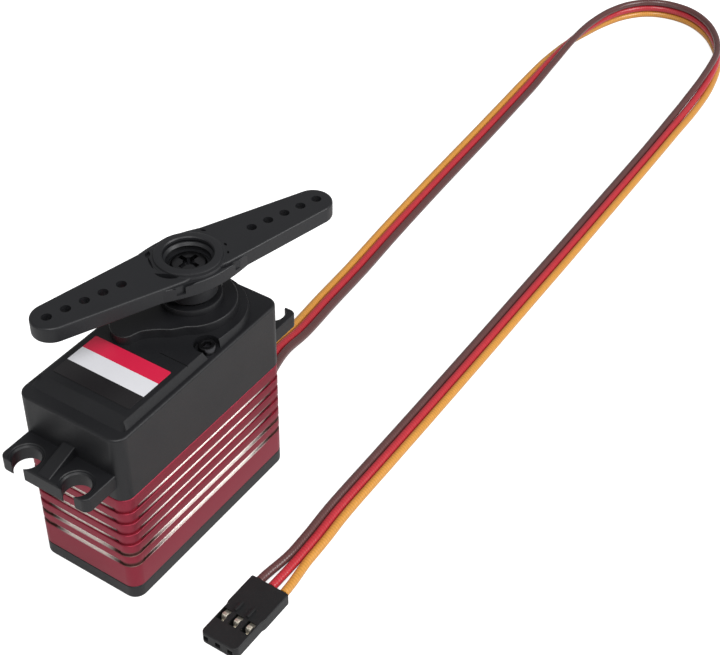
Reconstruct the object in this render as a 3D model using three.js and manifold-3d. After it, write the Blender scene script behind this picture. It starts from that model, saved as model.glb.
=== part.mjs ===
// A standard-size digital servo motor with metal gears, a double-arm horn and a three-wire lead.
// Millimetres, +Z up. The origin is the centre of the body's bottom face; +X points to the
// output end, where the lead leaves the case.
import * as THREE from 'three';
import { mergeVertices } from 'three/addons/utils/BufferGeometryUtils.js';
import Module from 'manifold-3d';

// ---- driving dimensions -------------------------------------------------------------------

const gap = { fit: 0.15, loose: 0.3 };               // running clearance, clearance of cut pieces
const past = 1;                                      // how far a cutting shape runs past what it cuts
const sunk = 0.1;                                    // how far joined shapes reach into each other
const [beneath, overhead] = [-10, 60];               // levels below and above every piece
const body = { length: 40.5, width: 20.5, corner: 2.2, wall: 1.5 };
const cover = { height: 2.7, floor: 1.5, chamfer: 0.4 };
const coverRib = { count: 3, pitch: 12, width: 1.2, rise: 0.3 };
const midCase = { underMotor: 4.2, floor: 2 };
const groove = { count: 6, height: 0.85, depth: 0.6, first: 4.9, last: 3.1 };
const topCase = { height: 12.9, roof: 1.6, edge: 0.35 };
const panel = { rise: 1.3, endLedge: 2.35, endSlope: 2, sideLedge: 0.9, sideSlope: 0.65 };
const dome = { rise: 1.7, radius: 7.5, lobeX: -7.6, lobeY: 3.1, lobeRadius: 5.2, edge: 0.3 };
const shaftBoss = { rise: 1.2, radius: 5.1, edge: 0.3 };
const lug = { reach: 6.5, width: 17.6, thickness: 2.7, topAbove: 5.5, corner: 1.2, edge: 0.2 };
const lugHole = { spacingX: 49.2, spacingY: 10.16, radius: 2.3, slot: 2.5 };
const lugRib = { width: 2.4, height: 1.9, reach: 5.8 };
const label = { length: 10, width: 15.3, thickness: 0.12, corner: 0.4, fromSlope: 1.45 };

const caseScrew = { inset: 2.4, radius: 1, head: 1.75, headHeight: 1.3, recess: 0.7, post: 2.1, depth: 10 };
const caseCross = { reach: 1.1, width: 0.5, depth: 0.7 };
const deckScrew = { behind: 6.25, inset: 2.35, radius: 1, head: 1.45, headHeight: 1.3, into: 1.6 };
const deckPocket = { radius: 2.15, mouth: 2.6, socket: 0.75, socketDepth: 0.9 };

const outputInset = 10.1;                            // output axis to the end of the body
const stage1 = { module: 0.3, driver: 10, driven: 46 };
const stage2 = { module: 0.4, driver: 12, driven: 40 };
const stage3 = { module: 0.4, driver: 18, driven: 34 };
const stage4 = { module: 0.4, driver: 12, driven: 40 };
const tooth = { pressure: 25, addendum: 0.85, dedendum: 1.25, backlash: 0.09 };
const wheel1 = { above: 0.5, width: 1.2, pinion: 2.4 };
const wheel2 = { above: 0.6, width: 1.4, pinion: 3 };
const wheel3 = { above: 1.3, width: 1.3, pinion: 3.6 };
const outputGear = { above: 0.5, width: 2.5 };
const hubWall = 1;                                   // wall of the washer face under each wheel
const gearPin = { radius: 1, seat: 1.6, tip: 0.8, play: 0.05 };

const upperBearing = { bore: 4, outer: 6, width: 3.5, ball: 0.6, land: 0.3, balls: 9 };
const lowerBearing = { bore: 2.5, outer: 4, width: 2.5, ball: 0.42, land: 0.22, balls: 8 };
const bearingSeat = { below: 0.6, sunk: 0.1, shelf: 0.9, boss: 1.6 };
const shaft = { spigot: 2.4, body: 4, collar: 4.7, collarHeight: 0.45, neck: 3.5, taper: 0.25 };
const spline = { radius: 2.96, depth: 0.26, teeth: 25 };
const shaftEnd = { splineLength: 3.9, aboveBoss: 0.3, thread: 1.5, threadDepth: 7, socketDepth: 4.5 };

const pot = { radius: 5.6, height: 6, shaft: 1.5, flat: 0.45, reach: 4.2, floor: 1.2 };
const potTab = { count: 3, pitch: 2.5, width: 0.8, thickness: 0.4, reach: 0.8, lift: 0.6, wire: 0.35 };
const motor = { radius: 8, flat: 7.5, wall: 0.8, length: 14, shaft: 0.75, boss: 2.2, bossHeight: 1.2 };
const motorBell = { height: 1.5, tabWidth: 2, tabThickness: 0.4, tabGap: 9 };
const magnet = { thickness: 1.8, width: 8.4, ends: 1.5, apart: 4 };
const rotor = { radius: 4.9, edge: 0.5, hub: 2.4, hubHeight: 2, ends: 1.2, slot: 0.8, slotFrom: 3.6 };
const motorScrew = { pitch: 8.4, radius: 0.8, head: 1.4, headHeight: 0.9, length: 2.9, slot: 0.4 };

const board = { thickness: 1, margin: 0.45 };
const chip = { height: 0.9, big: 5, small: 3, offset: 4.8, bigFrom: 1.4, smallFrom: -8 };
const capacitor = { radius: 2.5, height: 7, fromEnd: 7.6, offset: 5.4 };

const horn = { angle: -18.27, above: 7.3, reach: 27.75, tip: 3.3, root: 5.3, thickness: 2.8, edge: 0.35 };
const hornHole = { count: 5, first: 12.17, pitch: 3.25, radius: 0.85 };
const hornHub = { radius: 4.5, lift: 0.6, web: 0.6, recess: 4.1, swell: 6.6 };
const hornRim = { radius: 5.4, rise: 0.5, edge: 0.2 };
const hornDisc = { radius: 6.05, rise: 0.2, edge: 0.1 };
const hornScrew = { radius: 1.2, head: 3, headHeight: 1.3, crown: 0.6, length: 7 };
const hornCross = { reach: 1.6, width: 0.75, depth: 0.8 };

const grommet = { z: 6.2, width: 6.4, height: 3, lip: 0.8, lipOver: 0.7, nose: 1.2, noseTaper: 0.35 };
const wire = { radius: 0.8, bond: 0.05, sides: 8, steps: 64, opening: 9 };
const plug = { length: 13.9, width: 7.7, height: 2.6, wall: 1, corner: 0.5, chamfer: 0.3 };
const plugGrip = { length: 6.6, tipWidth: 7.3 };
const plugWindow = { length: 2.2, width: 1.5, from: 4.2 };
const plugRidge = { length: 2.8, width: 0.4, rise: 0.15, from: 0.2 };
const contact = { pitch: 2.54, width: 1.5, height: 1.4, channel: 1.9, pinHole: 1, tab: 0.9, below: 0.25 };

// The lead's centre line: x and y from the point where it leaves the grommet, z above the ground,
// and the lean of the flat ribbon in degrees, 0 lying flat and -90 standing on edge.
const leadRoute = [
  [0, 0, 6.2, 0], [3.2, 0.2, 6.2, 0], [9.4, 2.4, 6, 0], [16.7, 4.4, 5.1, 0], [24.5, 5.2, 3.8, 0],
  [36.1, 6.9, 2.5, 0], [49.3, 8.5, 1.3, 0], [63, 10, 0.85, 0], [73.1, 10.8, 0.85, 0],
  [87.3, 11.8, 0.85, 0], [109.9, 13.2, 0.85, 0], [132.6, 14.7, 1, -4], [145.5, 15.4, 1.5, -22],
  [156.6, 15.3, 2.15, -50], [164.2, 14.5, 2.4, -72], [172, 12.9, 2.5, -85], [178.3, 10.3, 2.5, -90],
  [182.6, 6.5, 2.5, -90], [184.7, 1.8, 2.5, -90], [184.6, -4.4, 2.5, -90], [181.5, -10.3, 2.5, -90],
  [176, -15.3, 2.5, -88], [169, -19, 2.4, -78], [158.1, -21.2, 2.15, -50], [146.5, -22, 1.5, -22],
  [134.2, -22.3, 1, -4], [122.7, -22.7, 0.85, 0], [100.1, -23.4, 0.85, 0], [80, -24, 0.85, 0],
  [60.4, -24.5, 0.85, 0], [41.2, -25, 0.85, 0], [23.2, -25.4, 0.85, 0], [7.2, -25.7, 0.85, 0],
  [-7.8, -26, 0.85, 0], [-15, -26.5, 0.85, 0], [-22, -26.8, 1, 0], [-28.2, -26.9, 1.3, 0],
];

// ---- derived levels and axes --------------------------------------------------------------

const halfLength = body.length / 2;
const halfWidth = body.width / 2;
const midCaseHeight = midCase.underMotor + motor.length + midCase.floor;
const caseTop = cover.height + midCaseHeight;
const floorBottom = caseTop - midCase.floor;
const shoulderTop = caseTop + topCase.height;
const panelTop = shoulderTop + panel.rise;
const domeTop = panelTop + dome.rise;
const bossTop = domeTop + shaftBoss.rise;
const roofUnder = shoulderTop - topCase.roof;

const outputX = halfLength - outputInset;
const centres = stage4.module * (stage4.driver + stage4.driven) / 2;
const pinX = outputX - centres;
const motorX = pinX - stage1.module * (stage1.driver + stage1.driven) / 2;

const wheel1Bottom = caseTop + wheel1.above;
const wheel1Top = wheel1Bottom + wheel1.width;
const wheel2Bottom = wheel1Top + wheel2.above;
const wheel2Top = wheel2Bottom + wheel2.width;
const wheel3Bottom = wheel2Top + wheel3.above;
const wheel3Top = wheel3Bottom + wheel3.width;
const outputGearBottom = wheel2Top + wheel2.pinion + outputGear.above;
const outputGearTop = outputGearBottom + outputGear.width;
const upperBearingBottom = outputGearTop + bearingSeat.below;
const upperBearingTop = upperBearingBottom + upperBearing.width;
const lowerBearingTop = caseTop - bearingSeat.sunk;
const lowerBearingBottom = lowerBearingTop - lowerBearing.width;
const potTop = lowerBearingBottom - bearingSeat.shelf;
const splineBottom = bossTop + shaftEnd.aboveBoss;
const splineTop = splineBottom + shaftEnd.splineLength;
const hornWebBottom = splineTop + gap.loose;
const hornWebTop = hornWebBottom + hornHub.web;
const hornTop = bossTop + horn.above;
const hornBottom = hornTop - horn.thickness;
const lugTop = caseTop + lug.topAbove;
const boardBottom = cover.height + coverRib.rise;
const boardTop = boardBottom + board.thickness;
const motorBottom = floorBottom - motor.length;
const exitX = halfLength + grommet.nose + gap.loose;
const pinBore = gearPin.radius + gearPin.play;
const wirePitch = 2 * wire.radius + wire.bond;
const groovePitch = (midCaseHeight - groove.first - groove.last) / (groove.count - 1);

// ---- making solids ------------------------------------------------------------------------

const wasm = await Module();
wasm.setup();

function toManifold(geometry) {
  const bare = geometry.index ? geometry.toNonIndexed() : geometry.clone();
  bare.deleteAttribute('normal');
  bare.deleteAttribute('uv');
  const merged = mergeVertices(bare, 1e-4);
  const corners = merged.index.array;
  const faces = [];
  for (let i = 0; i < corners.length; i += 3) {
    const [a, b, c] = corners.slice(i, i + 3);
    if (a !== b && b !== c && c !== a) faces.push(a, b, c);
  }
  const mesh = new wasm.Mesh({
    numProp: 3,
    vertProperties: new Float32Array(merged.attributes.position.array),
    triVerts: new Uint32Array(faces),
  });
  return new wasm.Manifold(mesh);
}

function toGeometry(solid) {
  const mesh = solid.getMesh();
  const geometry = new THREE.BufferGeometry();
  geometry.setAttribute('position', new THREE.BufferAttribute(new Float32Array(mesh.vertProperties), 3));
  geometry.setIndex(new THREE.BufferAttribute(new Uint32Array(mesh.triVerts), 1));
  geometry.computeVertexNormals();
  return geometry;
}

const join = (first, ...rest) => rest.reduce((sum, solid) => sum.add(solid), first);
const cut = (first, ...rest) => rest.reduce((left, solid) => left.subtract(solid), first);

// Extrudes a flat outline from one height to another, with an optional chamfer on both rims.
function prism(shape, bottom, top, chamfer = 0, curveSegments = 2) {
  const geometry = new THREE.ExtrudeGeometry(shape, {
    depth: top - bottom - 2 * chamfer,
    curveSegments,
    bevelEnabled: chamfer > 0,
    bevelThickness: chamfer,
    bevelSize: chamfer,
    bevelOffset: -chamfer,
    bevelSegments: 1,
  });
  geometry.translate(0, 0, bottom + chamfer);
  return toManifold(geometry);
}

function cylinder(x, y, radius, bottom, top, sides = 20, topRadius = radius) {
  const geometry = new THREE.CylinderGeometry(topRadius, radius, top - bottom, sides);
  geometry.rotateX(Math.PI / 2);
  geometry.translate(x, y, (bottom + top) / 2);
  return toManifold(geometry);
}

function box(x0, x1, y0, y1, z0, z1) {
  const geometry = new THREE.BoxGeometry(x1 - x0, y1 - y0, z1 - z0);
  geometry.translate((x0 + x1) / 2, (y0 + y1) / 2, (z0 + z1) / 2);
  return toManifold(geometry);
}

const ring = (x, y, inner, outer, bottom, top, sides) =>
  cut(cylinder(x, y, outer, bottom, top, sides), cylinder(x, y, inner, bottom - past, top + past, sides));

// Turns a profile of [radius, z] points about the vertical axis through x, y. The profile closes
// on itself or on the axis, and is put in the order that makes its faces point outwards.
function turned(x, y, profile, sides) {
  const points = profile.map(([radius, z]) => new THREE.Vector2(radius, z));
  if (THREE.ShapeUtils.isClockWise(points)) points.reverse();
  const geometry = new THREE.LatheGeometry(points, sides);
  geometry.rotateX(Math.PI / 2);
  geometry.translate(x, y, 0);
  return toManifold(geometry);
}

function roundedRect(length, width, corner, x = 0, y = 0) {
  const shape = new THREE.Shape();
  const [w, d] = [length / 2 - corner, width / 2 - corner];
  shape.absarc(x + w, y + d, corner, 0, Math.PI / 2);
  shape.absarc(x - w, y + d, corner, Math.PI / 2, Math.PI);
  shape.absarc(x - w, y - d, corner, Math.PI, 1.5 * Math.PI);
  shape.absarc(x + w, y - d, corner, 1.5 * Math.PI, 2 * Math.PI);
  return shape;
}

const polygon = (points) => new THREE.Shape(points.map(([x, y]) => new THREE.Vector2(x, y)));

// A closed outline of involute teeth. Each flank is the involute of the base circle: at radius r
// the half tooth is quarter pitch plus inv(pressure) less inv(acos(base / r)) less the backlash.
// The long flanks of a small pinion have a point at the pitch circle too.
const fewTeeth = 20;

function gearShape(teeth, module, phase, x, y) {
  const involute = (angle) => Math.tan(angle) - angle;
  const pressure = THREE.MathUtils.degToRad(tooth.pressure);
  const pitchRadius = module * teeth / 2;
  const base = pitchRadius * Math.cos(pressure);
  const root = pitchRadius - tooth.dedendum * module;
  const tip = pitchRadius + tooth.addendum * module;
  const halfTooth = (r) => Math.PI / (2 * teeth) - tooth.backlash / (4 * pitchRadius)
    + involute(pressure) - involute(Math.acos(Math.min(1, base / Math.max(r, base))));
  const radii = teeth < fewTeeth ? [root, pitchRadius, tip] : [root, tip];
  const points = [];
  for (let i = 0; i < teeth; i += 1) {
    const centre = phase + 2 * Math.PI * i / teeth;
    const rising = radii.map((r) => [r, centre - halfTooth(r)]);
    const falling = radii.map((r) => [r, centre + halfTooth(r)]).reverse();
    for (const [r, angle] of [...rising, ...falling]) {
      points.push(new THREE.Vector2(x + r * Math.cos(angle), y + r * Math.sin(angle)));
    }
  }
  return new THREE.Shape(points);
}

const part = new THREE.Group();

function add(name, solid, color, roughness, metalness = 0) {
  const material = new THREE.MeshStandardMaterial({ color, roughness, metalness });
  const mesh = new THREE.Mesh(toGeometry(solid), material);
  mesh.name = name;
  part.add(mesh);
}

const blackPlastic = 0x343436;
const steel = 0xb9bbbd;
const brass = 0xc9a24e;

// ---- fasteners' places --------------------------------------------------------------------

const caseScrewPlaces = [-1, 1].flatMap((sx) => [-1, 1].map((sy) => [
  sx * (halfLength - caseScrew.inset),
  sy * (halfWidth - caseScrew.inset),
]));
const deckScrewPlaces = [-1, 1].map((side) => [
  outputX - deckScrew.behind,
  side * (halfWidth - deckScrew.inset),
]);
const motorScrewPlaces = [-1, 1].map((side) => [motorX, side * motorScrew.pitch / 2]);
const cavity = (bottom, top) => prism(
  roundedRect(body.length - 2 * body.wall, body.width - 2 * body.wall, body.corner - body.wall),
  bottom,
  top,
);

// ---- the case -----------------------------------------------------------------------------

function makeBottomCover() {
  const shell = prism(roundedRect(body.length, body.width, body.corner), 0, cover.height);
  const skirt = prism(roundedRect(body.length, body.width, body.corner), 0, 2 * cover.height, cover.chamfer);
  const outside = shell.intersect(skirt);
  const posts = caseScrewPlaces.map(([x, y]) => cylinder(x, y, caseScrew.post, 0, cover.height + past));
  const hollow = cut(cavity(cover.floor, cover.height + past), ...posts);
  const ribReach = halfWidth - caseScrew.inset - caseScrew.post;
  const ribs = Array.from({ length: coverRib.count }, (_, i) => {
    const x = (i - (coverRib.count - 1) / 2) * coverRib.pitch - coverRib.width / 2;
    return box(x, x + coverRib.width, -ribReach, ribReach, cover.floor - sunk, boardBottom);
  });
  const holes = caseScrewPlaces.flatMap(([x, y]) => [
    cylinder(x, y, caseScrew.radius + gap.fit, -past, cover.height + past, 12),
    cylinder(x, y, caseScrew.head + gap.fit, -past, caseScrew.recess + caseScrew.headHeight, 16),
  ]);
  return cut(join(cut(outside, hollow), ...ribs), ...holes);
}

function makeMiddleCase() {
  const outside = prism(roundedRect(body.length, body.width, body.corner), cover.height, caseTop);
  const posts = caseScrewPlaces.map(([x, y]) => cylinder(x, y, caseScrew.post, 0, caseTop));
  const hollow = cut(cavity(cover.height - past, floorBottom), ...posts);
  const grooves = Array.from({ length: groove.count }, (_, i) => {
    const bottom = cover.height + groove.first + groovePitch * i;
    const top = bottom + groove.height;
    const slab = box(-body.length, body.length, -body.width, body.width, bottom, top);
    const core = roundedRect(
      body.length - 2 * groove.depth,
      body.width - 2 * groove.depth,
      body.corner - groove.depth,
    );
    return slab.subtract(prism(core, bottom - past, top + past));
  });
  const seat = cylinder(outputX, 0, lowerBearing.outer + bearingSeat.boss, potTop, floorBottom + sunk, 32);
  const seatHoles = [
    cylinder(outputX, 0, lowerBearing.outer + gap.fit, lowerBearingBottom, caseTop + past, 28),
    cylinder(outputX, 0, shaft.spigot + gap.loose, potTop - past, caseTop, 24),
  ];
  const motorHoles = [
    cylinder(motorX, 0, motor.boss + gap.fit, floorBottom - past, caseTop + past, 24),
    ...motorScrewPlaces.flatMap(([x, y]) => [
      cylinder(x, y, motorScrew.radius + gap.fit, floorBottom - past, caseTop + past, 12),
      cylinder(x, y, motorScrew.head + gap.fit, caseTop - motorScrew.headHeight, caseTop + past, 16),
    ]),
  ];
  const pinHole = cylinder(pinX, 0, pinBore, caseTop - gearPin.seat, caseTop + past, 16);
  const screwHoles = [
    ...caseScrewPlaces.map(([x, y]) => cylinder(x, y, caseScrew.radius + gap.fit, 0, caseTop + past, 12)),
    ...deckScrewPlaces.map(([x, y]) =>
      cylinder(x, y, deckScrew.radius + gap.fit, floorBottom - past, caseTop + past, 16)),
  ];
  const leadHole = box(
    halfLength - body.wall - past,
    halfLength + past,
    -grommet.width / 2 - gap.loose,
    grommet.width / 2 + gap.loose,
    grommet.z - grommet.height / 2 - gap.loose,
    grommet.z + grommet.height / 2 + gap.loose,
  );
  const shell = join(cut(outside, hollow), seat);
  return cut(shell, ...grooves, ...seatHoles, ...motorHoles, pinHole, ...screwHoles, leadHole);
}

// The raised label panel: its long section cut by its cross section, so that both slope.
function makePanelBlock() {
  const endFoot = -halfLength + panel.endLedge;
  const sideFoot = halfWidth - panel.sideLedge;
  const long = prism(polygon([
    [endFoot, shoulderTop - past], [outputX, shoulderTop - past], [outputX, panelTop],
    [endFoot + panel.endSlope, panelTop], [endFoot, shoulderTop],
  ]), -halfWidth, halfWidth).rotate([90, 0, 0]);
  const across = prism(polygon([
    [-sideFoot, shoulderTop - past], [sideFoot, shoulderTop - past], [sideFoot, shoulderTop],
    [sideFoot - panel.sideSlope, panelTop], [-sideFoot + panel.sideSlope, panelTop], [-sideFoot, shoulderTop],
  ]), -halfLength, halfLength).rotate([90, 0, 90]);
  return long.intersect(across);
}

function makeDomes() {
  const ringFoot = halfWidth - panel.sideLedge;
  const ringTop = ringFoot - panel.sideSlope / 2;
  const lower = cylinder(outputX, 0, ringFoot, shoulderTop - past, panelTop, 36, ringTop);
  const circle = new THREE.Shape();
  circle.absarc(outputX, 0, dome.radius, 0, 2 * Math.PI);
  const lobe = new THREE.Shape();
  lobe.absarc(outputX + dome.lobeX, dome.lobeY, dome.lobeRadius, 0, 2 * Math.PI);
  const upper = [circle, lobe].map((shape) => prism(shape, panelTop - past, domeTop, dome.edge, 14));
  const collar = new THREE.Shape();
  collar.absarc(outputX, 0, shaftBoss.radius, 0, 2 * Math.PI);
  return [lower, ...upper, prism(collar, domeTop - past, bossTop, shaftBoss.edge, 12)];
}

function makeLug(side) {
  const plate = roundedRect(2 * lug.reach, lug.width, lug.corner, side * halfLength, 0);
  const inner = side * (halfLength - past);
  const slab = cut(
    prism(plate, lugTop - lug.thickness, lugTop, lug.edge),
    box(Math.min(0, inner), Math.max(0, inner), -halfWidth, halfWidth, beneath, overhead),
  );
  const rib = prism(polygon([
    [-past, -sunk], [lugRib.reach, -sunk], [lugRib.reach, 0], [0, lugRib.height], [-past, lugRib.height],
  ]), -lugRib.width / 2, lugRib.width / 2).rotate([90, 0, 0]).translate([halfLength, 0, lugTop]);
  const ribHere = side > 0 ? rib : rib.rotate([0, 0, 180]);
  const holes = [-1, 1].flatMap((row) => {
    const [x, y] = [side * lugHole.spacingX / 2, row * lugHole.spacingY / 2];
    const end = side * (halfLength + lug.reach + past);
    return [
      cylinder(x, y, lugHole.radius, beneath, overhead, 24),
      box(Math.min(x, end), Math.max(x, end), y - lugHole.slot / 2, y + lugHole.slot / 2, beneath, overhead),
    ];
  });
  return cut(join(slab, ribHere), ...holes);
}

function makeTopCase() {
  const block = prism(roundedRect(body.length, body.width, body.corner), caseTop, shoulderTop + topCase.edge);
  const softened = prism(
    roundedRect(body.length, body.width, body.corner),
    caseTop - topCase.edge,
    shoulderTop,
    topCase.edge,
  );
  const outside = join(
    block.intersect(softened),
    makePanelBlock(),
    ...makeDomes(),
    makeLug(-1),
    makeLug(1),
  );
  const posts = caseScrewPlaces.map(([x, y]) => cylinder(x, y, caseScrew.post, 0, shoulderTop));
  const room = cut(cavity(caseTop - past, roofUnder), ...posts);
  const tipRadius = (stage) => stage.module * (stage.driven / 2 + tooth.addendum) + gap.loose;
  const gearRooms = [
    cylinder(pinX, 0, tipRadius(stage1), caseTop - past, wheel1Top + gap.loose, 32),
    cylinder(outputX, 0, tipRadius(stage4), caseTop - past, outputGearTop + gap.loose, 32),
  ];
  const bearingHoles = [
    cylinder(outputX, 0, upperBearing.outer + gap.fit, roofUnder - past, upperBearingTop, 28),
    cylinder(outputX, 0, shaft.neck + gap.loose, upperBearingTop - past, bossTop + past, 24),
  ];
  const pinSocket = cylinder(pinX, 0, pinBore, roofUnder - past, roofUnder + past, 16);
  const screwHoles = [
    ...caseScrewPlaces.map(([x, y]) =>
      cylinder(x, y, caseScrew.radius + gap.fit, 0, caseTop + caseScrew.depth + gap.loose, 12)),
    ...deckScrewPlaces.flatMap(([x, y]) => [
      cylinder(x, y, deckScrew.radius + gap.fit, 0, overhead, 12),
      cylinder(x, y, deckPocket.radius, panelTop - deckScrew.headHeight, domeTop + past, 20),
      box(x - deckPocket.mouth / 2, x + deckPocket.mouth / 2, Math.min(y, 2 * y), Math.max(y, 2 * y),
        panelTop - deckScrew.headHeight, domeTop + past),
    ]),
  ];
  return cut(outside, room, ...gearRooms, ...bearingHoles, pinSocket, ...screwHoles);
}

function makeTopLabel() {
  const x = -halfLength + panel.endLedge + panel.endSlope + label.fromSlope + label.length / 2;
  const outline = roundedRect(label.length, label.width, label.corner, x, 0);
  return prism(outline, panelTop, panelTop + label.thickness);
}

// A long cross-head screw put in from below, through the cover and the middle case.
function makeCaseScrew([x, y]) {
  const headTop = caseScrew.recess + caseScrew.headHeight;
  const head = cylinder(x, y, caseScrew.head, caseScrew.recess, headTop, 16);
  const shank = cylinder(x, y, caseScrew.radius, headTop - sunk, caseTop + caseScrew.depth, 10);
  const [long, half, deep] = [caseCross.reach, caseCross.width / 2, caseScrew.recess + caseCross.depth];
  const cross = [
    box(x - long, x + long, y - half, y + half, 0, deep),
    box(x - half, x + half, y - long, y + long, 0, deep),
  ];
  return cut(join(head, shank), ...cross);
}

// A socket-head screw sunk in its pocket, holding the top case to the middle case.
function makeDeckScrew([x, y]) {
  const headBottom = panelTop - deckScrew.headHeight;
  const head = cylinder(x, y, deckScrew.head, headBottom, panelTop, 20);
  const shank = cylinder(x, y, deckScrew.radius, caseTop - deckScrew.into, headBottom + sunk, 12);
  const socket = cylinder(x, y, deckPocket.socket, panelTop - deckPocket.socketDepth, panelTop + past, 6);
  return cut(join(head, shank), socket);
}

add('bottom_cover', makeBottomCover(), blackPlastic, 0.6);
add('middle_case', makeMiddleCase(), 0xa03e4e, 0.4, 0.8);
add('top_case', makeTopCase(), blackPlastic, 0.6);
add('top_label', makeTopLabel(), 0xc8304a, 0.4);
caseScrewPlaces.forEach((place, i) => add(`case_screw_${i + 1}`, makeCaseScrew(place), steel, 0.35, 0.9));
deckScrewPlaces.forEach((place, i) => add(`deck_screw_${i + 1}`, makeDeckScrew(place), 0x202022, 0.35, 0.8));

// ---- gears --------------------------------------------------------------------------------

// A wheel and its smaller pinion cut from one blank, with a bore for the pin it turns on.
function makeCompoundGear(x, wheel, pinion, bore) {
  const hub = cylinder(x, 0, bore + hubWall, wheel.bottom - gap.loose, wheel.bottom + sunk, 20);
  const outline = ({ teeth, module, phase }) => gearShape(teeth, module, phase, x, 0);
  const large = prism(outline(wheel), wheel.bottom, wheel.top);
  const small = prism(outline(pinion), wheel.top - sunk, pinion.top);
  return cut(join(hub, large, small), cylinder(x, 0, bore, beneath, overhead, 20));
}

// Wheels on the far side of their driver start with a gap towards it, so that teeth mesh at rest.
const gapAt = (angle, teeth) => angle + Math.PI / teeth;

function makeGear1() {
  const wheel = {
    teeth: stage1.driven, module: stage1.module, phase: gapAt(Math.PI, stage1.driven),
    bottom: wheel1Bottom, top: wheel1Top,
  };
  const pinion = { teeth: stage2.driver, module: stage2.module, phase: 0, top: wheel1Top + wheel1.pinion };
  return makeCompoundGear(pinX, wheel, pinion, gearPin.radius + gap.fit);
}

function makeGear2() {
  const wheel = {
    teeth: stage2.driven, module: stage2.module, phase: gapAt(Math.PI, stage2.driven),
    bottom: wheel2Bottom, top: wheel2Top,
  };
  const pinion = {
    teeth: stage3.driver, module: stage3.module, phase: Math.PI, top: wheel2Top + wheel2.pinion,
  };
  return makeCompoundGear(outputX, wheel, pinion, shaft.spigot + gap.fit);
}

function makeGear3() {
  const wheel = {
    teeth: stage3.driven, module: stage3.module, phase: gapAt(0, stage3.driven),
    bottom: wheel3Bottom, top: wheel3Top,
  };
  const pinion = { teeth: stage4.driver, module: stage4.module, phase: 0, top: wheel3Top + wheel3.pinion };
  return makeCompoundGear(pinX, wheel, pinion, gearPin.radius + gap.fit);
}

function makeOutputGear() {
  const outline = gearShape(stage4.driven, stage4.module, gapAt(Math.PI, stage4.driven), outputX, 0);
  const blank = prism(outline, outputGearBottom, outputGearTop);
  return cut(blank, cylinder(outputX, 0, shaft.body + gap.fit, beneath, overhead, 24));
}

function makeGearPin() {
  return cylinder(pinX, 0, gearPin.radius, caseTop - gearPin.seat, roofUnder + gearPin.tip, 16);
}

function splineShape(x, clearance) {
  const points = Array.from({ length: 2 * spline.teeth }, (_, i) => {
    const angle = Math.PI * i / spline.teeth;
    const radius = spline.radius + clearance - (i % 2) * spline.depth;
    return new THREE.Vector2(x + radius * Math.cos(angle), radius * Math.sin(angle));
  });
  return new THREE.Shape(points);
}

// The block that leaves a flat along one side of the potentiometer's shaft.
function potFlat(from, bottom) {
  return box(outputX - pot.radius, outputX + pot.radius, from, pot.radius, bottom, overhead);
}

function makeOutputShaft() {
  const bottom = potTop + 2 * gap.loose;
  const gearStop = outputGearBottom - gap.loose;
  const bearingStop = upperBearingBottom - gap.fit;
  const collarBottom = bearingStop - shaft.collarHeight;
  const journal = upperBearing.bore - gap.fit;
  const journalTop = upperBearingTop - gap.fit;
  const stem = turned(outputX, 0, [
    [0, bottom], [shaft.spigot, bottom], [shaft.spigot, gearStop], [shaft.body, gearStop],
    [shaft.body, collarBottom], [shaft.collar, collarBottom], [shaft.collar, bearingStop],
    [journal, bearingStop], [journal, journalTop - shaft.taper], [shaft.neck, journalTop],
    [shaft.neck, splineBottom], [0, splineBottom],
  ], 20);
  const splined = prism(splineShape(outputX, 0), splineBottom - sunk, splineTop);
  const threadEnd = splineTop - shaftEnd.threadDepth;
  const thread = cylinder(outputX, 0, shaftEnd.thread, threadEnd, splineTop + past, 16);
  const socket = cut(
    cylinder(outputX, 0, pot.shaft + gap.fit, beneath, bottom + shaftEnd.socketDepth, 16),
    potFlat(pot.shaft - pot.flat + gap.fit, beneath),
  );
  return cut(join(stem, splined), thread, socket);
}

add('output_shaft', makeOutputShaft(), steel, 0.35, 0.9);
add('output_gear', makeOutputGear(), brass, 0.35, 0.9);
add('gear_3', makeGear3(), brass, 0.35, 0.9);
add('gear_2', makeGear2(), brass, 0.35, 0.9);
add('gear_1', makeGear1(), brass, 0.35, 0.9);
add('gear_pin', makeGearPin(), steel, 0.3, 0.9);

// ---- output bearings ----------------------------------------------------------------------

// Two rings with a raceway cut into each, and the caged balls that run between them.
function addBearing(name, size, bottom) {
  const top = bottom + size.width;
  const middle = bottom + size.width / 2;
  const track = (size.bore + size.outer) / 2;
  const raceway = size.ball + gap.fit;
  const thin = size.ball / 4;
  const race = (wall, sign) => turned(outputX, 0, [
    [wall, bottom], [track + sign * size.land, bottom], [track + sign * size.land, middle - raceway],
    [track + sign * raceway, middle - thin], [track + sign * raceway, middle + thin],
    [track + sign * size.land, middle + raceway], [track + sign * size.land, top],
    [wall, top], [wall, bottom],
  ], 20);
  add(`${name}_outer_ring`, race(size.outer, 1), steel, 0.3, 0.9);
  add(`${name}_inner_ring`, race(size.bore, -1), steel, 0.3, 0.9);
  const balls = Array.from({ length: size.balls }, (_, i) => {
    const angle = 2 * Math.PI * i / size.balls;
    const geometry = new THREE.SphereGeometry(size.ball, 6, 4);
    geometry.translate(outputX + track * Math.cos(angle), track * Math.sin(angle), middle);
    return toManifold(geometry);
  });
  const half = size.land - gap.fit / 2;
  const cage = ring(outputX, 0, track - half, track + half, middle - thin, middle + thin, 18);
  add(`${name}_cage`, join(cage, ...balls), steel, 0.15, 1);
}

addBearing('upper_bearing', upperBearing, upperBearingBottom);
addBearing('lower_bearing', lowerBearing, lowerBearingBottom);

// ---- feedback potentiometer ---------------------------------------------------------------

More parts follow.
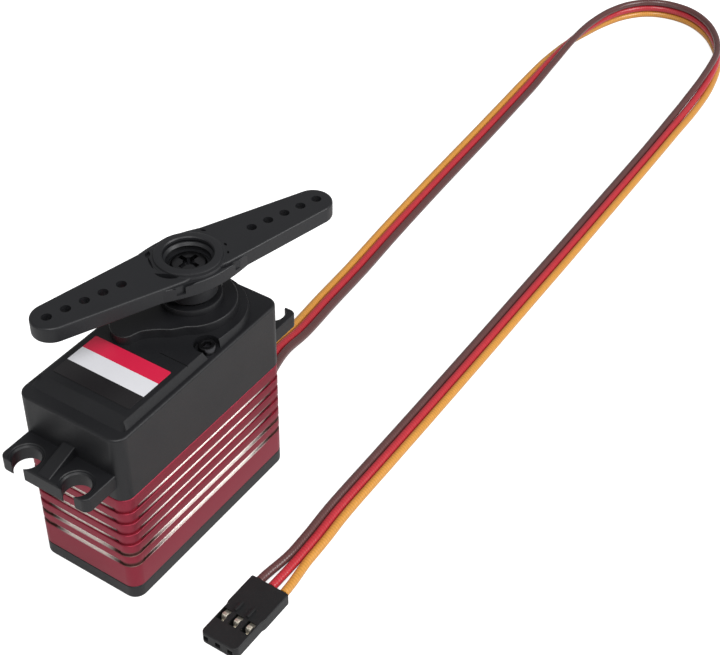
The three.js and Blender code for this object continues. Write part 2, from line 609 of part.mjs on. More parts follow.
const potBottom = potTop - pot.height;
const potTabPlaces = Array.from({ length: potTab.count }, (_, i) => [
  outputX - pot.radius - potTab.reach / 2,
  (i - (potTab.count - 1) / 2) * potTab.pitch,
]);

function makePotBody() {
  const drum = cylinder(outputX, 0, pot.radius, potBottom, potTop, 24);
  const tabs = potTabPlaces.map(([x, y]) => box(
    x - potTab.reach / 2, outputX - pot.radius + past, y - potTab.width / 2, y + potTab.width / 2,
    potBottom + potTab.lift, potBottom + potTab.lift + potTab.thickness,
  ));
  const bore = cylinder(outputX, 0, pot.shaft + gap.loose, potBottom + pot.floor, potTop + past, 20);
  return cut(join(drum, ...tabs), bore);
}

function makePotShaft() {
  const bottom = potBottom + pot.floor + gap.fit;
  const top = potTop + pot.reach;
  return cut(
    cylinder(outputX, 0, pot.shaft, bottom, top, 16),
    potFlat(pot.shaft - pot.flat, potTop + gap.loose),
  );
}

function makePotWire([x, y]) {
  const top = potBottom + potTab.lift - gap.fit;
  return cylinder(x, y, potTab.wire, boardTop + gap.fit, top, 8);
}

add('potentiometer', makePotBody(), 0x2f6f57, 0.5);
add('potentiometer_shaft', makePotShaft(), steel, 0.35, 0.9);
potTabPlaces.forEach((place, i) => add(`potentiometer_wire_${i + 1}`, makePotWire(place), 0xb04a2e, 0.5));

// ---- motor --------------------------------------------------------------------------------

const flatSided = (solid, flat) =>
  solid.intersect(box(-body.length, body.length, -flat, flat, beneath, overhead));

function makeMotorCan() {
  const outside = cylinder(motorX, 0, motor.radius, motorBottom + motorBell.height, floorBottom, 32);
  const nose = cylinder(motorX, 0, motor.boss, floorBottom - sunk, floorBottom + motor.bossHeight, 20);
  const inside = cylinder(motorX, 0, motor.radius - motor.wall, motorBottom, floorBottom - motor.wall, 32);
  const holes = [
    cylinder(motorX, 0, motor.shaft + gap.fit, beneath, overhead, 12),
    ...motorScrewPlaces.map(([x, y]) =>
      cylinder(x, y, motorScrew.radius + gap.fit, floorBottom - motor.wall - past, overhead, 12)),
  ];
  return cut(
    join(flatSided(outside, motor.flat), nose),
    flatSided(inside, motor.flat - motor.wall),
    ...holes,
  );
}

function makeMotorBell() {
  const disc = cylinder(motorX, 0, motor.radius, motorBottom, motorBottom + motorBell.height, 32);
  return cut(flatSided(disc, motor.flat), cylinder(motorX, 0, motor.shaft + gap.fit, beneath, overhead, 12));
}

// One of the two curved magnets on the round sides of the can.
function makeMotorMagnet(side) {
  const outer = motor.radius - motor.wall - gap.fit;
  const bottom = motorBottom + motorBell.height + magnet.ends;
  const top = floorBottom - motor.wall - magnet.ends;
  const tube = ring(motorX, 0, outer - magnet.thickness, outer, bottom, top, 32);
  const near = motorX + side * magnet.apart / 2;
  const far = motorX + side * motor.radius;
  return tube.intersect(
    box(Math.min(near, far), Math.max(near, far), -magnet.width / 2, magnet.width / 2, bottom, top),
  );
}

function makeMotorRotor() {
  const bottom = motorBottom + motorBell.height;
  const top = floorBottom - motor.wall;
  const bore = motor.shaft + gap.fit;
  const hubBottom = bottom + gap.loose;
  const coreBottom = hubBottom + rotor.hubHeight;
  const coreTop = top - rotor.ends;
  const core = turned(motorX, 0, [
    [bore, hubBottom], [rotor.hub, hubBottom], [rotor.hub, coreBottom],
    [rotor.radius - rotor.edge, coreBottom], [rotor.radius, coreBottom + rotor.edge],
    [rotor.radius, coreTop - rotor.edge], [rotor.radius - rotor.edge, coreTop],
    [bore, coreTop], [bore, hubBottom],
  ], 24);
  const poles = 3;
  const slots = Array.from({ length: poles }, (_, i) => box(
    rotor.slotFrom, rotor.radius + past, -rotor.slot / 2, rotor.slot / 2, bottom, top,
  ).rotate([0, 0, 360 * i / poles]).translate([motorX, 0, 0]));
  return cut(core, ...slots);
}

function makeMotorShaft() {
  return cylinder(motorX, 0, motor.shaft, motorBottom + gap.loose, wheel1Top + 2 * gap.loose, 12);
}

function makeMotorPinion() {
  const outline = gearShape(stage1.driver, stage1.module, 0, motorX, 0);
  const blank = prism(outline, floorBottom + motor.bossHeight + 3 * gap.loose, wheel1Top + gap.loose);
  return cut(blank, cylinder(motorX, 0, motor.shaft + gap.fit / 2, beneath, overhead, 12));
}

function makeMotorScrew([x, y]) {
  const headBottom = caseTop - motorScrew.headHeight;
  const head = cylinder(x, y, motorScrew.head, headBottom, caseTop, 16);
  const shank = cylinder(x, y, motorScrew.radius, caseTop - motorScrew.length, headBottom + sunk, 12);
  const [reach, half] = [motorScrew.head + past, motorScrew.slot / 2];
  const slot = box(x - reach, x + reach, y - half, y + half, caseTop - motorScrew.slot, caseTop + past);
  return cut(join(head, shank), slot);
}

function makeMotorTerminal(side) {
  const y = side * motorBell.tabGap / 2;
  const half = motorBell.tabWidth / 2;
  const thin = motorBell.tabThickness / 2;
  return box(motorX - half, motorX + half, y - thin, y + thin, boardTop + gap.fit, motorBottom);
}

add('motor_can', makeMotorCan(), 0xa9abad, 0.35, 0.9);
add('motor_end_bell', makeMotorBell(), 0xe7e3d6, 0.5);
[-1, 1].forEach((side, i) => {
  add(`motor_magnet_${i + 1}`, makeMotorMagnet(side), 0x3b3b3e, 0.7);
  add(`motor_screw_${i + 1}`, makeMotorScrew(motorScrewPlaces[i]), steel, 0.35, 0.9);
  add(`motor_terminal_${i + 1}`, makeMotorTerminal(side), 0xd8c27a, 0.4, 0.8);
});
add('motor_rotor', makeMotorRotor(), 0xa7622f, 0.5, 0.6);
add('motor_shaft', makeMotorShaft(), steel, 0.3, 0.9);
add('motor_pinion', makeMotorPinion(), brass, 0.35, 0.9);

// ---- electronics --------------------------------------------------------------------------

function makeBoard() {
  const margin = body.wall + board.margin;
  const outline = roundedRect(body.length - 2 * margin, body.width - 2 * margin, body.corner - body.wall);
  const plate = prism(outline, boardBottom, boardTop);
  const notches = caseScrewPlaces.map(([x, y]) =>
    cylinder(x, y, caseScrew.post + gap.loose, boardBottom - past, boardTop + past, 20));
  return cut(plate, ...notches);
}

function makeChip(x, y, size) {
  return box(x - size / 2, x + size / 2, y - size / 2, y + size / 2, boardTop, boardTop + chip.height);
}

function makeCapacitor() {
  const x = halfLength - capacitor.fromEnd;
  return cylinder(x, capacitor.offset, capacitor.radius, boardTop, boardTop + capacitor.height, 20);
}

add('circuit_board', makeBoard(), 0x1f5a3a, 0.5);
add('controller_chip', makeChip(outputX + chip.bigFrom, -chip.offset, chip.big), 0x232325, 0.4);
add('driver_chip_1', makeChip(outputX + chip.smallFrom, -chip.offset, chip.small), 0x232325, 0.4);
add('driver_chip_2', makeChip(outputX + chip.smallFrom, chip.offset, chip.small), 0x232325, 0.4);
add('capacitor', makeCapacitor(), 0x2b2f4a, 0.35, 0.3);

// ---- horn ---------------------------------------------------------------------------------

// The horn's outline, centred on its hub: two tapered arms with round ends, which widen towards
// the hub and meet the round swelling there.
function hornShape() {
  const rootX = Math.sqrt(hornHub.swell ** 2 - horn.root ** 2);
  const rootAngle = Math.atan2(horn.root, rootX);
  const shape = new THREE.Shape();
  const armEnd = horn.reach - horn.tip;
  shape.absarc(armEnd, 0, horn.tip, -Math.PI / 2, Math.PI / 2);
  shape.absarc(0, 0, hornHub.swell, rootAngle, Math.PI - rootAngle);
  shape.absarc(-armEnd, 0, horn.tip, Math.PI / 2, 1.5 * Math.PI);
  shape.absarc(0, 0, hornHub.swell, Math.PI + rootAngle, 2 * Math.PI - rootAngle);
  return shape;
}

function makeHorn() {
  const arms = prism(hornShape(), hornBottom, hornTop, horn.edge, 4);
  const disc = new THREE.Shape();
  disc.absarc(0, 0, hornDisc.radius, 0, 2 * Math.PI);
  const rim = new THREE.Shape();
  rim.absarc(0, 0, hornRim.radius, 0, 2 * Math.PI);
  const hub = cylinder(0, 0, hornHub.radius, bossTop + hornHub.lift, hornBottom + sunk, 28);
  const holes = [-1, 1].flatMap((side) => Array.from({ length: hornHole.count }, (_, i) => {
    const x = side * (hornHole.first + hornHole.pitch * i);
    return cylinder(x, 0, hornHole.radius, hornBottom - past, hornTop + past, 12);
  }));
  const blank = join(
    arms,
    prism(disc, hornTop - past, hornTop + hornDisc.rise, hornDisc.edge, 12),
    prism(rim, hornTop - past, hornTop + hornRim.rise, hornRim.edge, 12),
    hub,
  );
  const placed = cut(blank, ...holes).rotate([0, 0, horn.angle]).translate([outputX, 0, 0]);
  return cut(
    placed,
    prism(splineShape(outputX, gap.fit), bossTop, hornWebBottom),
    cylinder(outputX, 0, hornScrew.radius + gap.loose, bossTop, hornTop + past, 16),
    cylinder(outputX, 0, hornHub.recess, hornWebTop, overhead, 24),
  );
}

function makeHornScrew() {
  const top = hornWebTop + hornScrew.headHeight;
  const head = turned(outputX, 0, [
    [0, hornWebTop], [hornScrew.head, hornWebTop], [hornScrew.head, top - hornScrew.crown],
    [hornScrew.head - hornScrew.crown, top], [0, top],
  ], 24);
  const shank = cylinder(outputX, 0, hornScrew.radius, hornWebTop - hornScrew.length, hornWebTop + sunk, 16);
  const cross = [0, 90].map((angle) => box(
    -hornCross.reach, hornCross.reach, -hornCross.width / 2, hornCross.width / 2,
    top - hornCross.depth, top + past,
  ).rotate([0, 0, angle + horn.angle]).translate([outputX, 0, 0]));
  return cut(join(head, shank), ...cross);
}

add('horn', makeHorn(), 0x3a3a3d, 0.5);
add('horn_screw', makeHornScrew(), 0x2a2a2c, 0.35, 0.7);

// ---- lead ---------------------------------------------------------------------------------

function makeGrommet() {
  const inner = halfLength - body.wall;
  const section = (grow, x0, x1) => box(
    x0, x1,
    -grommet.width / 2 - grow, grommet.width / 2 + grow,
    grommet.z - grommet.height / 2 - grow, grommet.z + grommet.height / 2 + grow,
  );
  return join(
    section(grommet.lipOver, inner - grommet.lip, inner),
    section(0, inner - sunk, halfLength),
    section(-grommet.noseTaper, halfLength - sunk, halfLength + grommet.nose),
  );
}

// The wires lie side by side across the route, and open out to the plug's pitch at its end.
function wireCurve(place) {
  const stations = leadRoute.map(([x, y, z]) => new THREE.Vector3(exitX + x, y, z));
  const centre = new THREE.CatmullRomCurve3(stations, false, 'centripetal');
  const total = centre.getLength();
  const points = Array.from({ length: wire.steps + 1 }, (_, i) => {
    const share = i / wire.steps;
    const at = centre.getUtoTmapping(share);
    const along = centre.getTangent(at);
    const station = at * (leadRoute.length - 1);
    const before = Math.min(Math.floor(station), leadRoute.length - 2);
    const lean = THREE.MathUtils.lerp(leadRoute[before][3], leadRoute[before + 1][3], station - before);
    const angle = THREE.MathUtils.degToRad(lean);
    const left = new THREE.Vector3(-along.y, along.x, 0).normalize();
    const open = THREE.MathUtils.smoothstep((share - 1) * total + wire.opening, 0, wire.opening);
    const reach = place * THREE.MathUtils.lerp(wirePitch, contact.pitch, open);
    return centre.getPoint(at)
      .addScaledVector(left, reach * Math.cos(angle))
      .add(new THREE.Vector3(0, 0, reach * Math.sin(angle)));
  });
  return new THREE.CatmullRomCurve3(points, false, 'centripetal');
}

function sweep(curve, radius, steps) {
  const section = new THREE.Shape();
  section.absarc(0, 0, radius, 0, 2 * Math.PI);
  const geometry = new THREE.ExtrudeGeometry(section, {
    steps, extrudePath: curve, bevelEnabled: false, curveSegments: wire.sides / 2,
  });
  return toManifold(geometry);
}

// The end of one wire inside the case, bending down from the grommet to the board.
function makeLeadTail(place) {
  const start = halfLength - body.wall - grommet.lip - gap.loose;
  const y = place * wirePitch;
  const curve = new THREE.CatmullRomCurve3([
    new THREE.Vector3(start, y, grommet.z),
    new THREE.Vector3(start - 1.2, y, grommet.z - 0.1),
    new THREE.Vector3(start - 2.2, y, grommet.z - 0.8),
    new THREE.Vector3(start - 2.5, y, boardTop + gap.loose),
  ]);
  return sweep(curve, wire.radius, 6);
}

const plugEnd = leadRoute[leadRoute.length - 1];
const plugX = exitX + plugEnd[0] - gap.loose;
const plugY = plugEnd[1];
const contactRows = [-1, 0, 1].map((place) => plugY + place * contact.pitch);

function makeConnectorHousing() {
  const channelBottom = (plug.height - contact.channel) / 2;
  const tip = roundedRect(plug.length, plugGrip.tipWidth, plug.corner, plugX - plug.length / 2, plugY);
  const grip = roundedRect(plugGrip.length, plug.width, plug.corner, plugX - plugGrip.length / 2, plugY);
  const blank = join(prism(tip, 0, plug.height, plug.chamfer), prism(grip, 0, plug.height, plug.chamfer));
  const mouth = plugX - plug.length;
  const channels = contactRows.flatMap((y) => [
    box(mouth + plug.wall, plugX + past, y - contact.channel / 2, y + contact.channel / 2,
      channelBottom, channelBottom + contact.channel),
    box(mouth - past, mouth + plug.wall + past, y - contact.pinHole / 2, y + contact.pinHole / 2,
      (plug.height - contact.pinHole) / 2, (plug.height + contact.pinHole) / 2),
    box(mouth + plugWindow.from, mouth + plugWindow.from + plugWindow.length,
      y - plugWindow.width / 2, y + plugWindow.width / 2, plug.height / 2, plug.height + past),
  ]);
  const ridgeStart = mouth + plugWindow.from + plugWindow.length + plugRidge.from;
  const ridges = [-0.5, 0.5].map((place) => box(
    ridgeStart, ridgeStart + plugRidge.length,
    plugY + place * contact.pitch - plugRidge.width / 2, plugY + place * contact.pitch + plugRidge.width / 2,
    plug.height - sunk, plug.height + plugRidge.rise,
  ));
  return join(cut(blank, ...channels), ...ridges);
}

// A crimped contact in its channel, with the latch tab that shows in the window.
function makeContact(y) {
  const mouth = plugX - plug.length;
  const bottom = (plug.height - contact.height) / 2;
  const tabStart = mouth + plugWindow.from + gap.loose;
  return join(
    box(mouth + plug.wall + gap.loose, plugX - plug.wall, y - contact.width / 2, y + contact.width / 2,
      bottom, bottom + contact.height),
    box(tabStart, tabStart + plugWindow.length - 2 * gap.loose, y - contact.tab / 2, y + contact.tab / 2,
      bottom + contact.height - sunk, plug.height - contact.below),
  );
}

add('lead_grommet', makeGrommet(), 0x1d1d1f, 0.8);
[['brown', 0x6b4440], ['red', 0xc9343f], ['orange', 0xe0a046]].forEach(([name, color], i) => {
  add(`lead_tail_${name}`, makeLeadTail(i - 1), color, 0.5);
  add(`wire_${name}`, sweep(wireCurve(i - 1), wire.radius, wire.steps), color, 0.5);
});
add('connector_housing', makeConnectorHousing(), 0x29292b, 0.6);
contactRows.forEach((y, i) => add(`connector_contact_${i + 1}`, makeContact(y), 0xcfc6ad, 0.3, 0.9));

export default part;
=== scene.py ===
"""The looks of a standard-size servo motor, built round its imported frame.

Shapes are worked out in millimetres, in the frame's own axes: the origin is the centre of the
body's bottom face, +X points to the output end and +Z up. They are stored in metres.
"""
import math

import bpy
import numpy as np
from mathutils import Matrix, Vector


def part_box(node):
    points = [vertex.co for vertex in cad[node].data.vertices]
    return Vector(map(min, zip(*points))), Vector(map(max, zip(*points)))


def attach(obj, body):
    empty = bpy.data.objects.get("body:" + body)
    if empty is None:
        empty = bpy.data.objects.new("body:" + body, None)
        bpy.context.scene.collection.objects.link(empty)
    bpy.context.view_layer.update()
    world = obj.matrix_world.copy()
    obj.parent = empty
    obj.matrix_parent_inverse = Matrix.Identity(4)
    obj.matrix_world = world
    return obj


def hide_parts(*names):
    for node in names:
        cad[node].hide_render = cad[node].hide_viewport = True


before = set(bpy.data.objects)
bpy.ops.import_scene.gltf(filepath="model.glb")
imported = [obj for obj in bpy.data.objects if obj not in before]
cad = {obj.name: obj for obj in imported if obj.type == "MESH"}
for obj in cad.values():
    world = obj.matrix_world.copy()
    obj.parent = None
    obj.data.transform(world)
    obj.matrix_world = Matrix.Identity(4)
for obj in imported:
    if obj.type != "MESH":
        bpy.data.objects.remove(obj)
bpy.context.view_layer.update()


# ---- camera, floor and light --------------------------------------------------------------
# A long lens looks down on the motor end and the long side of the case. The motor stands on a
# plain white table, lit by a pale room and three large soft lamps.

MM = 0.001
CAMERA_PLACE, CAMERA_LENS = (-131.5, -125.6, 192.1), 75.05
CAMERA_AZIMUTH, CAMERA_ELEVATION, CAMERA_ROLL = -56.71, 40.38, 0.775
# Half the table's length in metres, its shade, and its glow to the camera and in a gloss.
TABLE_HALF, TABLE_SHADE = 3.0, 0.62
GLOW_SEEN, GLOW_MIRRORED = 0.76, 0.12
# Each lamp's name, place and size in metres, and watts.
LAMPS = [
    ("side_lamp", (0.2, -0.6, 0.45), 0.4, 3.9),
    ("top_lamp", (-0.32, -0.28, 0.72), 0.4, 4.5),
    ("end_lamp", (-0.7, 0.15, 0.3), 0.3, 0.6),
]


def aim_camera():
    """The camera's axes: back points from the object to the lens, and the roll turns right and up."""
    azimuth, elevation, roll = map(math.radians, (CAMERA_AZIMUTH, CAMERA_ELEVATION, CAMERA_ROLL))
    back = Vector((
        math.sin(azimuth) * math.cos(elevation),
        -math.cos(azimuth) * math.cos(elevation),
        math.sin(elevation),
    ))
    level = Vector((math.cos(azimuth), math.sin(azimuth), 0))
    upright = back.cross(level)
    right = level * math.cos(roll) + upright * math.sin(roll)
    up = upright * math.cos(roll) - level * math.sin(roll)
    camera = bpy.data.objects.new("camera", bpy.data.cameras.new("camera"))
    bpy.context.scene.collection.objects.link(camera)
    turned_axes = Matrix((right, up, back)).transposed().to_4x4()
    camera.matrix_world = Matrix.Translation(Vector(CAMERA_PLACE) * MM) @ turned_axes
    camera.data.sensor_width = 36
    camera.data.lens = CAMERA_LENS
    camera.data.clip_start = 0.01
    bpy.context.scene.camera = camera


class Value:
    """A socket that arithmetic can be written on: each operator adds its Math nodes."""

    def __init__(self, finish, socket):
        self.finish = finish
        self.socket = socket

    def math(self, operation, *others):
        inputs = dict(enumerate([self, *others]))
        return self.finish.node("ShaderNodeMath", inputs, operation=operation)

    def __add__(self, other):
        return self.math("ADD", other)

    def __sub__(self, other):
        return self.math("SUBTRACT", other)

    def __mul__(self, other):
        return self.math("MULTIPLY", other)

    def __rsub__(self, other):
        return self * -1 + other

    def __gt__(self, other):
        return self.math("GREATER_THAN", other)

    __radd__ = __add__
    __rmul__ = __mul__


class Finish:
    """A material or a world. node() is the one way to add to its tree, and surface() sets its
    shader."""

    def __init__(self, name, kind="materials", shader="Principled BSDF"):
        self.material = getattr(bpy.data, kind).new(name)
        self.material.use_nodes = True
        self.nodes = self.material.node_tree.nodes
        self.shader = self.nodes[shader]

    def put(self, socket, value):
        if isinstance(value, Value):
            self.material.node_tree.links.new(value.socket, socket)
        else:
            socket.default_value = value

    def node(self, kind, inputs=None, output=0, **settings):
        made = self.nodes.new(kind)
        for name, value in settings.items():
            setattr(made, name, value)
        for name, value in (inputs or {}).items():
            self.put(made.inputs[name], value)
        return Value(self, made.outputs[output])

    def surface(self, **sockets):
        for name, value in sockets.items():
            self.put(self.shader.inputs[name.replace("_", " ")], value)
        return self.material

    def mix(self, mask, first, second):
        """The first colour where mask is 0 and the second where it is 1."""
        sockets = {0: mask, 6: first, 7: second}
        return self.node("ShaderNodeMix", sockets, output=2, data_type="RGBA")

    def noise(self, per_mm, stretch=(1, 1, 1), detail=2):
        """Noise with about per_mm lumps in a millimetre, stretched along some axes."""
        place = self.node("ShaderNodeTexCoord", output="Object")
        scaled_place = self.node("ShaderNodeMapping", {"Vector": place, "Scale": stretch})
        sockets = {"Vector": scaled_place, "Scale": per_mm / MM, "Detail": detail}
        return self.node("ShaderNodeTexNoise", sockets)

    def bump(self, height, deep_mm, strength):
        sockets = {"Height": height, "Distance": deep_mm * MM, "Strength": strength}
        return self.node("ShaderNodeBump", sockets)


def grey(shade):
    """A colour of equal red, green and blue, with full alpha."""
    return (shade, shade, shade, 1)


def lay_floor():
    """A white table. What the camera sees of it glows a little, and shadows still fall on it."""
    plane = bpy.data.meshes.new("floor")
    half = TABLE_HALF
    corners = [(-half, -half, 0), (half, -half, 0), (half, half, 0), (-half, half, 0)]
    plane.from_pydata(corners, [], [(0, 1, 2, 3)])
    floor = bpy.data.objects.new("floor", plane)
    bpy.context.scene.collection.objects.link(floor)
    finish = Finish("white_table")
    camera_ray = finish.node("ShaderNodeLightPath", output="Is Camera Ray")
    glossy_ray = finish.node("ShaderNodeLightPath", output="Is Glossy Ray")
    unseen_glow = finish.mix(glossy_ray, grey(0), grey(GLOW_MIRRORED))
    plane.materials.append(finish.surface(
        Base_Color=grey(TABLE_SHADE),
        Roughness=1.0,
        Specular_IOR_Level=0,
        Emission_Color=finish.mix(camera_ray, unseen_glow, grey(GLOW_SEEN)),
        Emission_Strength=1.0,
    ))


def light_room():
    """A room that is white to the camera and dimmer to all else, and the lamps, each turned to the
    motor."""
    room = Finish("pale_room", "worlds", "Background")
    camera_ray = room.node("ShaderNodeLightPath", output="Is Camera Ray")
    bpy.context.scene.world = room.surface(Color=(1, 1, 1, 1), Strength=camera_ray * 0.7 + 0.3)
    for name, place, size, watts in LAMPS:
        lamp = bpy.data.objects.new(name, bpy.data.lights.new(name, "AREA"))
        lamp.data.size = size
        lamp.data.energy = watts
        lamp.location = place
        to_motor = Vector((0, 0, 0.02)) - lamp.location
        lamp.rotation_euler = to_motor.to_track_quat("-Z", "Y").to_euler()
        bpy.context.scene.collection.objects.link(lamp)


aim_camera()
lay_floor()
light_room()
bpy.context.scene.view_settings.view_transform = "Standard"


# ---- the lead -----------------------------------------------------------------------------
# Three stranded wires with PVC insulation, bonded side by side into a flat ribbon. It leaves the
# grommet level, comes down to the table, goes round on its edge and ends in the connector.

WIRE_RADIUS, WIRE_PITCH = 0.8, 1.65
CONTACT_PITCH, OPENING_LENGTH = 2.4, 9
STRAND_RATE = 11
LEAD_EXIT_X, LEAD_EXIT_Z = 21.75, 6.2
# x and y from the exit, z above the table, and the ribbon's lean in degrees.
LEAD_ROUTE = [
    (0, 0, 6.2, 0), (3.2, 0.2, 6.2, 0), (9.4, 2.4, 6, 0), (16.7, 4.4, 5.1, 0), (24.5, 5.2, 3.8, 0),
    (36.1, 6.9, 2.5, 0), (49.3, 8.5, 1.3, 0), (63, 10, 0.85, 0), (73.1, 10.8, 0.85, 0),
    (87.3, 11.8, 0.85, 0), (109.9, 13.2, 0.85, 0), (132.6, 14.7, 1, -4), (145.5, 15.4, 1.5, -22),
    (156.6, 15.3, 2.15, -50), (164.2, 14.5, 2.4, -72), (172, 12.9, 2.5, -85), (178.3, 10.3, 2.5, -90),
    (182.6, 6.5, 2.5, -90), (184.7, 1.8, 2.5, -90), (184.6, -4.4, 2.5, -90), (181.5, -10.3, 2.5, -90),
    (176, -15.3, 2.5, -88), (169, -19, 2.4, -78), (158.1, -21.2, 2.15, -50), (146.5, -22, 1.5, -22),
    (134.2, -22.3, 1, -4), (122.7, -22.7, 0.85, 0), (100.1, -23.4, 0.85, 0), (80, -24, 0.85, 0),
    (60.4, -24.5, 0.85, 0), (41.2, -25, 0.85, 0), (23.2, -25.4, 0.85, 0), (7.2, -25.7, 0.85, 0),
    (-7.8, -26, 0.85, 0), (-15, -26.5, 0.85, 0), (-22, -26.8, 1, 0), (-28.2, -26.9, 1.3, 0),
]


def smooth_route(stations, steps=40):
    """A centripetal Catmull-Rom curve: each span between two stations is a Hermite cubic whose
    end slopes weigh the neighbouring spans by the square roots of their lengths. The lean is
    carried along in a straight line. Gives steps points to a span."""
    points = np.vstack([
        2 * stations[0, :3] - stations[1, :3],
        stations[:, :3],
        2 * stations[-1, :3] - stations[-2, :3],
    ])
    before, start, end, after = points[:-3], points[1:-2], points[2:-1], points[3:]
    root = [np.sqrt(np.linalg.norm(b - a, axis=1))[:, None]
            for a, b in ((before, start), (start, end), (end, after))]
    leave = (start - before) / root[0] - (end - before) / (root[0] + root[1]) + (end - start) / root[1]
    arrive = (end - start) / root[1] - (after - start) / (root[1] + root[2]) + (after - end) / root[2]
    leave, arrive = leave * root[1], arrive * root[1]
    t = (np.arange(steps) / steps)[None, :, None]
    line = (
        start[:, None] * (2 * t**3 - 3 * t**2 + 1) + leave[:, None] * (t**3 - 2 * t**2 + t)
        + end[:, None] * (3 * t**2 - 2 * t**3) + arrive[:, None] * (t**3 - t**2)
    )
    lean = stations[:-1, None, 3:] * (1 - t) + stations[1:, None, 3:] * t
    both = np.concatenate([line, lean], axis=2).reshape(-1, 4)
    return np.vstack([both, stations[-1]])


def evenly(line, count):
    """The same line at count + 1 places, evenly spaced along its length."""
    lengths = np.concatenate([[0], np.cumsum(np.linalg.norm(np.diff(line[:, :3], axis=0), axis=1))])
    places = np.linspace(0, lengths[-1], count + 1)
    return np.stack([np.interp(places, lengths, column) for column in line.T], axis=1), places


def wire_line(place, count=440):
    """One wire's line: the route moved sideways by place pitches, across the leaning ribbon. The
    pitch opens smoothly to the connector's over the last stretch."""
    stations = np.array(LEAD_ROUTE, float) + (LEAD_EXIT_X, 0, 0, 0)
    line, places = evenly(smooth_route(stations), count)
    along = np.gradient(line[:, :3], axis=0)
    left = np.stack([-along[:, 1], along[:, 0], 0 * along[:, 0]], axis=1)
    left /= np.linalg.norm(left, axis=1)[:, None]
    opened = np.clip((places - places[-1] + OPENING_LENGTH) / OPENING_LENGTH, 0, 1)
    opened = opened**2 * (3 - 2 * opened)
    reach = place * (WIRE_PITCH + (CONTACT_PITCH - WIRE_PITCH) * opened)[:, None]
    lean = np.radians(line[:, 3:])
    return line[:, :3] + reach * (np.cos(lean) * left + np.sin(lean) * (0, 0, 1))


def closed_skin(rings):
    """One closed skin over rings of points: neighbours in and between rings share a quad, and
    the first and last ring are each closed by one face."""
    count, around = rings.shape[:2]
    index = np.arange(count * around).reshape(count, around)
    lower, upper = index[:-1], index[1:]
    quads = np.stack([lower, np.roll(lower, -1, 1), np.roll(upper, -1, 1), upper], axis=-1)
    ends = [index[0][::-1].tolist(), index[-1].tolist()]
    return rings.reshape(-1, 3), quads.reshape(-1, 4).tolist() + ends


def tube_rings(line, radius, around=20):
    """Circles of a radius round each point of a line, square to its direction."""
    along = np.gradient(line, axis=0)
    along /= np.linalg.norm(along, axis=1)[:, None]
    side = np.stack([-along[:, 1], along[:, 0], 0 * along[:, 0]], axis=1)
    side /= np.linalg.norm(side, axis=1)[:, None]
    up = np.cross(along, side)
    turn = np.linspace(0, 2 * math.pi, around, endpoint=False)[None, :, None]
    return line[:, None] + radius * (np.cos(turn) * side[:, None] + np.sin(turn) * up[:, None])


def shaped(name, skin):
    """A new object from a closed skin in millimetres."""
    points, faces = skin
    mesh = bpy.data.meshes.new(name)
    mesh.from_pydata((points * MM).tolist(), [], faces)
    made = bpy.data.objects.new(name, mesh)
    bpy.context.scene.collection.objects.link(made)
    return made


def finished(piece, body, material, node, sharp=32):
    """Gives a finished piece its material, soft and sharp edges and body, and hides its CAD node."""
    piece.data.materials.clear()
    piece.data.materials.append(material)
    piece.data.shade_smooth()
    piece.data.set_sharp_from_angle(angle=math.radians(sharp))
    even = piece.modifiers.new("even_normals", "WEIGHTED_NORMAL")
    even.keep_sharp = True
    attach(piece, body)
    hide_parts(node)
    return piece


def along_map(piece, rings, length):
    """A UV map on a tube: U is millimetres along it and V the share of a turn round it."""
    around = rings.shape[1]
    corner = np.zeros(len(piece.data.loops), np.int32)
    piece.data.loops.foreach_get("vertex_index", corner)
    ring, turn = np.divmod(corner, around)
    quads = (rings.shape[0] - 1) * around
    first = np.arange(len(corner)) // 4 % around
    wrapped = (turn == 0) & (first == around - 1) & (np.arange(len(corner)) < 4 * quads)
    u = ring * length / (rings.shape[0] - 1)
    v = np.where(wrapped, around, turn) / around
    layer = piece.data.uv_layers.new(name="along")
    layer.data.foreach_set("uv", np.stack([u, v], axis=1).astype(np.float32).ravel())


def shade_of(colour, share, lift=0.0):
    """A colour made darker or lighter by a share and a lift, with full alpha."""
    return tuple(min(1, c * share + lift) for c in colour) + (1,)


def insulation(name, colour):
    """PVC insulation: strands show through as faint slanted ridges, with scuffs and shade. The
    ridges are a sine of the way along and round the wire."""
    finish = Finish(name)
    place = finish.node("ShaderNodeUVMap", uv_map="along")
    along = finish.node("ShaderNodeSeparateXYZ", {0: place}, output="X")
    around = finish.node("ShaderNodeSeparateXYZ", {0: place}, output="Y")
    lay = ((along * STRAND_RATE + around * (2 * math.pi)).math("SINE") + 1) * 0.5
    streaks = finish.noise(0.35, detail=3)
    mottle = finish.noise(2.2, detail=3)
    shading = lay * 0.3 + mottle * 0.55 + streaks * 0.15
    return finish.surface(
        Base_Color=finish.mix(shading, shade_of(colour, 0.66), shade_of(colour, 1.22, 0.01)),
        Roughness=streaks * 0.14 + 0.16,
        Normal=finish.bump(lay * 0.6 + mottle * 0.4, 0.02, 0.8),
    )


WIRE_COLOURS = {
    "brown": (0.105, 0.040, 0.038),
    "red": (0.46, 0.024, 0.036),
    "orange": (0.60, 0.27, 0.045),
}
INSULATION = {shade: insulation(f"{shade}_insulation", colour) for shade, colour in WIRE_COLOURS.items()}
lead_wires = []
for place, shade in enumerate(WIRE_COLOURS, start=-1):
    line = wire_line(place)
    rings = tube_rings(line, WIRE_RADIUS)
    wire = shaped(f"lead_{shade}", closed_skin(rings))
    long = float(np.linalg.norm(np.diff(line, axis=0), axis=1).sum())
    along_map(wire, rings, long)
    finished(wire, "housing", INSULATION[shade], f"wire_{shade}")
    lead_wires.append((wire, line, long))


# ---- the connector ------------------------------------------------------------------------
# A black glass-filled nylon housing with three crimped contacts pushed in from the wire end. A
# latch tongue of each contact shows in its window.

